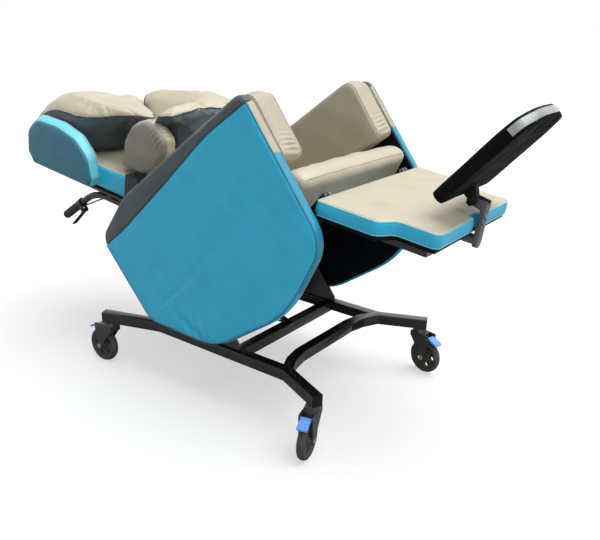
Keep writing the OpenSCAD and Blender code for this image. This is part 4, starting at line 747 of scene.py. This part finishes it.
def pillow(centre, half_x, half_z, top, under, seed, ears, gathers, bend_by):
    """Rings round a pillow, from its crown over the seam to its foot.

    top and under are rows of (share of the plan along x, along z, height from the seam plane), and each
    ring is a rounded square: x = half_x*share*sqrt(cos), z = half_z*share*sqrt(sin), with their signs.
    bend_by gives the shifts of the seam's plane, and the foot stays flat. Heights h above it ease off
    as 80 tanh(h/80). Each ear is a corner's own reach."""
    n, highest = 480, 80
    angle = np.linspace(0, 2*math.pi, n, endpoint=False)
    rows = np.vstack([top, under[1:]])
    plan_x, plan_z = half_x*signed_root(np.cos(angle)), half_z*signed_root(np.sin(angle))
    corner = np.exp(-(((np.degrees(angle) % 90) - 45)/9.0)**2)
    quarter = (angle // (math.pi/2)).astype(int)
    reach = corner*np.exp(-((rows[:, 2]/30)**2))[:, None]
    x = rows[:, 0:1]*plan_x[None] + reach*np.array(ears)[quarter, 0]
    z = rows[:, 1:2]*plan_z[None] + reach*np.array(ears)[quarter, 1]
    y = np.repeat(rows[:, 2:3], n, 1).astype(float)
    inner = 1 - rows[:, 0:1]
    is_top = (np.arange(len(rows)) < len(top))[:, None]
    chance = np.random.default_rng(seed)
    at = chance.uniform(0, 2*math.pi, gathers)
    wide = chance.uniform(0.008, 0.028, gathers)
    deep = chance.uniform(2.0, 7.5, gathers)
    long = chance.uniform(0.08, 0.36, gathers)
    turn = (angle[None, :, None] - at + math.pi) % (2*math.pi) - math.pi
    bend = 0.12*np.sin(7*at)*inner[..., None]
    fold = deep*np.exp(-((turn + bend)/wide)**2)*np.exp(-(inner[..., None]/long)**2)
    fold = fold.sum(-1)*np.minimum(inner/0.04, 1)
    broad = 5.5*waves(np.stack([x, y, z], -1), 190, seed + 1)
    broad = broad + 2.5*waves(np.stack([x, 3*y, 0.6*z], -1), 62, seed + 5)
    y = y + is_top*(np.minimum(fold, 13) - broad*np.minimum(inner/0.2, 1))
    down = np.clip(rows[:, 2:3]/rows[-1, 2], 0, 1)
    side_wave = 5.0*waves(np.stack([x, y, z], -1), 120, seed + 2)*np.sin(math.pi*down)
    size = np.maximum(np.hypot(x, z), 1)
    x, z = x + np.where(is_top, 0, side_wave*x/size), z + np.where(is_top, 0, side_wave*z/size)
    shift = bend_by(x, z)
    x, y, z = x + shift[0]*(1 - down)**2, y + shift[1]*(1 - down), z + shift[2]*(1 - down)**3
    y = np.where(y < 0, highest*np.tanh(y/highest), y)
    points = np.stack([x, y, z], -1).reshape(-1, 3)
    poles = np.array([[0, y[0].mean(), 0], [0, y[-1].mean(), 0]])
    index = np.arange(len(points)).reshape(-1, n)
    crown = np.stack([np.full(n, len(points)), np.roll(index[0], -1), index[0]], 1)
    foot = np.stack([np.full(n, len(points) + 1), index[-1], np.roll(index[-1], -1)], 1)
    below = np.repeat((np.arange(len(rows) - 1) >= len(top) - 1).astype(int), n)
    regions = np.concatenate([below, np.zeros(n), np.ones(n)]).astype(int)
    faces = quads(index, True).tolist() + crown.tolist() + foot.tolist()
    points = np.vstack([points, poles]) + centre
    return points, faces, regions, points[index[len(top) - 1]]

# %% [markdown]
# Drawn folds are too regular, so each sewn shell goes through a short cloth simulation. Its mesh is made
# even first, a small pressure fills it, and what it reaches is applied to the piece.

# %% Cloth
def read(items, what, size, kind=np.float32):
    """One value or vector of every item, as a flat array."""
    values = np.zeros(size*len(items), kind)
    items.foreach_get(what, values)
    return values

def search_tree(mesh):
    """Search tree of a mesh's faces."""
    return BVHTree.FromPolygons([v.co for v in mesh.vertices], [p.vertices for p in mesh.polygons])

def modified(thing):
    """The mesh that an object's modifiers make at the present frame."""
    graph = bpy.context.evaluated_depsgraph_get()
    return bpy.data.meshes.new_from_object(thing.evaluated_get(graph))

def settled(piece, reach):
    """Lets a shell relax as cloth under a small pressure, and caps each point's move at reach metres."""
    source, last_frame = piece.data, 20
    finishes = read(source.polygons, "material_index", 1, np.int32)
    old = search_tree(source)
    trial = added(piece.name + "_trial", source.copy())
    remesh = trial.modifiers.new("remesh", "REMESH")
    remesh.mode, remesh.voxel_size = "VOXEL", 0.0055
    trial.data = modified(trial)
    trial.modifiers.remove(remesh)
    start = read(trial.data.vertices, "co", 3).reshape(-1, 3)
    cloth = trial.modifiers.new("cloth", "CLOTH")
    tuned(
        cloth.settings, quality=4, mass=0.35, tension_stiffness=12, compression_stiffness=12,
        bending_stiffness=0.4, shrink_min=-0.03, use_pressure=True, uniform_pressure_force=4
    )
    cloth.settings.effector_weights.gravity = 0
    cloth.point_cache.frame_start, cloth.point_cache.frame_end = 1, last_frame
    for frame_number in range(1, last_frame + 1):
        bpy.context.scene.frame_set(frame_number)
    relaxed = modified(trial)
    move = read(relaxed.vertices, "co", 3).reshape(-1, 3) - start
    size = np.linalg.norm(move, axis=1, keepdims=True)
    relaxed.vertices.foreach_set("co", (start + move*np.minimum(1, reach/np.maximum(size, 1e-9))).ravel())
    chosen = [finishes[old.find_nearest(p.center)[2]] for p in relaxed.polygons]
    painted(relaxed, source.materials)
    relaxed.polygons.foreach_set("material_index", np.array(chosen, np.int32))
    smoothed(relaxed)
    bpy.context.scene.frame_set(1)
    bpy.data.objects.remove(trial)
    piece.data = relaxed
    smooth = piece.modifiers.new("smooth", "SUBSURF")
    smooth.levels = smooth.render_levels = 1
    print(piece.name, "moved up to", round(float(size.max())*1000, 1), "mm")

def sewn(name, shape, radius):
    """A pillow's cover, relaxed by up to 7 mm, and its seam's cord, moved with the cloth under it."""
    *cover_shape, regions, line = shape
    # The lower part takes the charcoal, partly a darker cloth and partly painted shade under the top.
    cover = upholstered(name, cover_shape, on_back, [cream, charcoal_and_shade], "cream_vinyl", regions)
    cord = tube(line, radius, (0, 1, 0), True)
    seam = make_piece(name + "_seam", *cord, on_back, [piping_dark], "charcoal_vinyl")
    settled(cover, 0.007)
    cloth = search_tree(cover.data)
    before = carried(line, back_place)
    after = np.array([cloth.find_nearest(Vector(p))[0] for p in before])
    shell = read(seam.data.vertices, "co", 3).reshape(-1, 3)
    nearby = np.linalg.norm(shell[:, None] - before[None], axis=-1).argmin(1)
    seam.data.vertices.foreach_set("co", (shell + (after - before)[nearby]).astype(np.float32).ravel())

# %% [markdown]
# The chair is reclined, so both pillows have slumped. Each has its own bend, a sum of smooth steps
# across its plan.

# %% The two pillows
def eased(t):
    """Smooth step from 0 to 1."""
    t = np.clip(t, 0, 1)
    return t*t*(3 - 2*t)

def head_bend(x, z):
    """The head pillow hangs over at its head end, and its near lower corner lies on the next pillow."""
    low, corner, far = eased((-z - 10)/165), eased((40 - x)/250), eased((x + 70)/260)
    rise = 84*np.clip(z/175, 0, 1)**1.7 - 88*eased((-z - 40)/134)*eased((190 - x)/250) + 46*far
    return 34*low*corner, rise, low*(30 - 272*corner + 96*far)

def back_bend(x, z):
    """The back pillow is pressed down under the head pillow, and its near seat-side corner is drawn in."""
    press = eased((z + 100)/205)*eased((170 - x)/330)
    lift = eased((-z - 60)/146)*eased((x + 203)/190)
    tuck = eased((-z - 50)/156)*eased((110 - x)/300)
    far = eased((z - 10)/190)*eased((x + 120)/280)
    return 62*press - 52*far, 146*press - 8*tuck + 24*far - 34*lift, -62*press + 74*tuck + 84*far + 26*lift

def crowned(height):
    """Rows of a pillow's upper half: a dome of the given height over the seam, in mm."""
    a = np.linspace(0.02, 0.5*math.pi, 46)
    return np.stack([np.sin(a)**0.62, np.sin(a)**0.62, -height*np.cos(a)**0.85], 1)

b = np.linspace(0, 0.5*math.pi, 44)
head_under = np.stack([np.cos(b)**0.30, np.cos(b)**0.30, 135.7*np.sin(b)**0.9], 1)
head_under[-1, :2] = 0.05
head_ears = [(10, 8), (-16, 40), (-4, -26), (12, -14)]
sewn("head_pillow", pillow(
    (0, -172, 661), 226, 174, crowned(62), head_under, 71, head_ears, 110, head_bend
), 2.0)

steps = np.array([
    [1, 1, 0], [0.985, 0.99, 8], [0.93, 0.975, 17], [0.80, 0.955, 24], [0.705, 0.945, 34], [0.692, 0.94, 60],
    [0.692, 0.94, 190], [0.68, 0.925, 212], [0.62, 0.86, 226], [0.40, 0.6, 229.5], [0.05, 0.05, 229.7]
])
back_under = np.stack([np.interp(np.linspace(0, 10, 70), np.arange(11), steps[:, k]) for k in range(3)], 1)
back_ears = [(8, 8), (0, 0), (-12, -12), (10, -10)]
sewn("back_pillow", pillow(
    (0, -266, 273.5), 203, 206, crowned(34), back_under, 81, back_ears, 96, back_bend
), 2.6)

# %% [markdown]
# A lateral pad steadies the trunk on each side. Its cover is a sleeve that is pulled tight at the root,
# where it gathers in short folds over the bracket's strap.

# %% Lateral pads
lateral_outer, lateral_inner = 217, 151  # mm
lateral_line = outline(
    [
        (-52, 238), (-54, 346), (-150, 343), (-214, 308), (-240, 252), (-236, 194), (-198, 150), (-148, 146),
        (-78, 196)
    ], [16, 14, 60, 60, 60, 50, 40, 50, 50], 14, 460
)

def lateral_relief(grid, way):
    """Smooth over the pad, gathered towards its lower corner."""
    gather = np.exp(-(((grid - [-205, 172])/[34, 34])**2).sum(-1))
    return 1.3*waves(grid, 110, 91) + 3.2*gather*np.sin(grid @ np.array([0.18, -0.34]))

def lateral_wall(rim, t):
    """The rim is round between the faces and puckers at the lower corner."""
    y, z = rim.T[:, None]
    gather = np.exp(-((y + 210)/30)**2)*np.exp(-((z - 175)/32)**2)
    return 5*np.sin(math.pi*t) + 3.5*gather*np.sin(0.5*z + 2*t)*np.sin(math.pi*t)

for side, name in both_sides:
    shape = boxed_pad(
        lateral_line, [(-56, 236), (-58, 340), (-216, 302), (-196, 153)], (-lateral_outer, -lateral_inner),
        (17, 21), (4, 2), (64, 56), 9, lateral_relief, lateral_wall
    )
    # The outer face takes the darkest warm grey and the rim the darker copy, both painted shade; the inner
    # face is the plain warm grey.
    upholstered(
        name + "_lateral_pad", mirrored(shape, side), (back_place, name + "_lateral"),
        [cream_deep_shade, cream_half_shade, cream], "cream_vinyl", shape[2], name + "_lateral_cover"
    )

# %% [markdown]
# The legrest cushion is flat and boxed, with piping along both edges of its strip. A notch in its far
# edge clears the footrest's slide.

# %% Legrest
leg_corners = [
    (-306, -16), (-306, -212), (-250, -242), (-250, -367), (-30, -367), (-24, -341),
    (24, -341), (30, -367), (250, -367), (250, -242), (306, -212), (306, -16)
]
leg_line = outline(leg_corners, [14, 26, 26, 22, 5, 8, 8, 5, 22, 26, 26, 14], 10, 900)
leg_low, leg_high = -37, 8  # mm

def leg_relief(grid, way):
    """Broad waves on top, and a crease near the right-hand hinge."""
    return (1.5*waves(grid, 170, 101) + crease(grid, (-250, -60), (-120, -170), 22, 2.0))*(way > 0)

def leg_wall(rim, t):
    """The strip bulges, with faint waves."""
    return bulge(2.5)(rim, t) + 0.6*wall_waves(rim, t, 40, 140, 102)

shape = boxed_pad(
    leg_line, [(-302, -20), (-241, -360), (241, -360), (302, -20)], (leg_low, leg_high),
    (5, 6), (0, 3.5), (90, 150), 9, leg_relief, leg_wall, axes=(2, 0, 1), reach=90
)
# The underside takes the near-black lining, partly painted shade.
upholstered(
    "leg_pad", shape, on_leg, [lining_and_shade, teal, cream], "cream_vinyl", regions=shape[2], name="legrest_cover"
)
for label, level, radius in (("upper", leg_high - 3.8, 2.2), ("lower", leg_low + 3.5, 2.0)):
    piping("legrest_piping_" + label, leg_line, level, 1.0, radius, 620, on_leg, piping_light, flat=True)

# %% [markdown]
# The footplate is padded: a black cover is drawn over it and stands a little proud. Its far edge is
# painted light grey, a painted reflection of the bright sky in the glossy black, and the hinge's tongue
# comes out of its underside.

# %% Footplate cover
foot_right = [(-162, 14), (-168, -10), (-168, -214), (-150, -284), (-60, -312)]
foot_line = outline(
    foot_right + [(-u, v) for u, v in foot_right[::-1]], [8, 20, 60, 34, 120, 120, 34, 60, 20, 8], 12, 720
)
foot_low, foot_high, sheen_from = 31, 69, -250  # mm
shape = boxed_pad(
    foot_line, [(-160, 11), (-140, -290), (140, -290), (160, 11)], (foot_low, foot_high),
    (7, 8), (2, 4), (90, 90), 9, lambda grid, way: 1.2*waves(grid, 110, 121), bulge(2.0),
    axes=(2, 0, 1), reach=60
)
# Wall quads at the far end take the light grey, a painted reflection.
middle = shape[0][shape[1]].mean(1)
sheen_band = (shape[2] == 1) & (middle[:, 1] < sheen_from)
make_piece(
    "footplate_cover", *shape[:2], on_foot, [black_vinyl, painted_sheen], "black_plastic", (), sheen_band.astype(int)
)

# %% [markdown]
# A thin cable runs from the release lever on the push handle, down behind the back, to the valve of
# the recline strut. It follows the route of the construction model, eased into one smooth line.

# %% Release cable
route = np.array([
    [-203, 162.7, 549.8], [-203, 159.5, 546.2], [-202.5, 154, 537], [-201, 148, 526], [-199, 140, 512],
    [-195, 126, 492], [-190, 113, 470], [-187, 101, 445], [-187, 90, 415], [-187, 82, 380], [-187, 78, 340],
    [-187, 78, 290], [-187, 78, 250], [-187, 78, 200], [-187, 78, 140], [-187, 77, 90], [-186, 75, 50],
    [-180, 71, 28], [-168, 67, 18], [-150, 66, 16], [-110, 66, 16], [-85, 66, 16], [-71, 66, 16]
])
fine = evenly(route, 180)
for _ in range(6):
    fine[1:-1] = 0.25*fine[:-2] + 0.5*fine[1:-1] + 0.25*fine[2:]
cable = make_piece(
    "release_cable_sleeve", *tube(fine, 2.5, (0.35, 0.9, -0.25)), on_back, [black_plastic],
    "black_plastic", ["release_cable"]
)

# %% [markdown]
# The picture was taken on a pale ground in soft daylight from above. The ground here is a plain sheet
# that only keeps the shadow, and two broad suns stand for the sky and the brighter front right.

# %% Ground and light
def sun(name, source, strength, spread):
    """Sun whose light comes from a direction, with a spread in degrees that softens its shadows."""
    data = bpy.data.lights.new(name, "SUN")
    data.energy, data.angle = strength, math.radians(spread)
    back = np.array(source, float)/np.linalg.norm(source)
    across = np.cross([0, 1, 0], back)
    across /= np.linalg.norm(across)
    added(name, data).matrix_world = standing(across, np.cross(back, across), back)

sun("sky", (0.22, -0.30, 1.0), 3.3, 60)
sun("front_sky", (-0.75, -0.9, 0.75), 0.55, 60)
floor_mesh = bpy.data.meshes.new("ground")
floor_mesh.from_pydata([(-90, -90, 0), (90, -90, 0), (90, 90, 0), (-90, 90, 0)], [], [(0, 1, 2, 3)])
floor = added("ground", floor_mesh)
ground = bpy.data.materials.new("pale_ground")
ground.use_nodes = True
tree = ground.node_tree
surface = tuned(
    tree.nodes["Principled BSDF"], Base_Color=(0.42, 0.42, 0.42, 1), Roughness=0.9, Specular_IOR_Level=0.0,
    Emission_Color=(1, 1, 1, 1)
)
seen = tree.nodes.new("ShaderNodeLightPath")
lift = node_of(tree, "ShaderNodeMath", operation="MULTIPLY", _1=0.55)
glow = (lift.outputs[0], surface.inputs["Emission Strength"])
wired(tree, (seen.outputs["Is Camera Ray"], lift.inputs[0]), glow)
painted(floor_mesh, [ground])

world = bpy.data.worlds.new("pale_room")
bpy.context.scene.world = world
world.use_nodes = True
tree = world.node_tree
background = tuned(tree.nodes["Background"], Color=(1, 1, 1, 1), Strength=0.3)
white = node_of(tree, "ShaderNodeBackground", Color=(1, 1, 1, 1))
rays = tree.nodes.new("ShaderNodeLightPath")
choice = tree.nodes.new("ShaderNodeMixShader")
either = node_of(tree, "ShaderNodeMath", operation="MAXIMUM")
wired(
    tree,
    (rays.outputs["Is Camera Ray"], either.inputs[0]), (rays.outputs["Is Glossy Ray"], either.inputs[1]),
    (either.outputs[0], choice.inputs[0]), (background.outputs[0], choice.inputs[1]),
    (white.outputs[0], choice.inputs[2]), (choice.outputs[0], tree.nodes["World Output"].inputs["Surface"])
)
bpy.context.scene.view_settings.view_transform = "Standard"
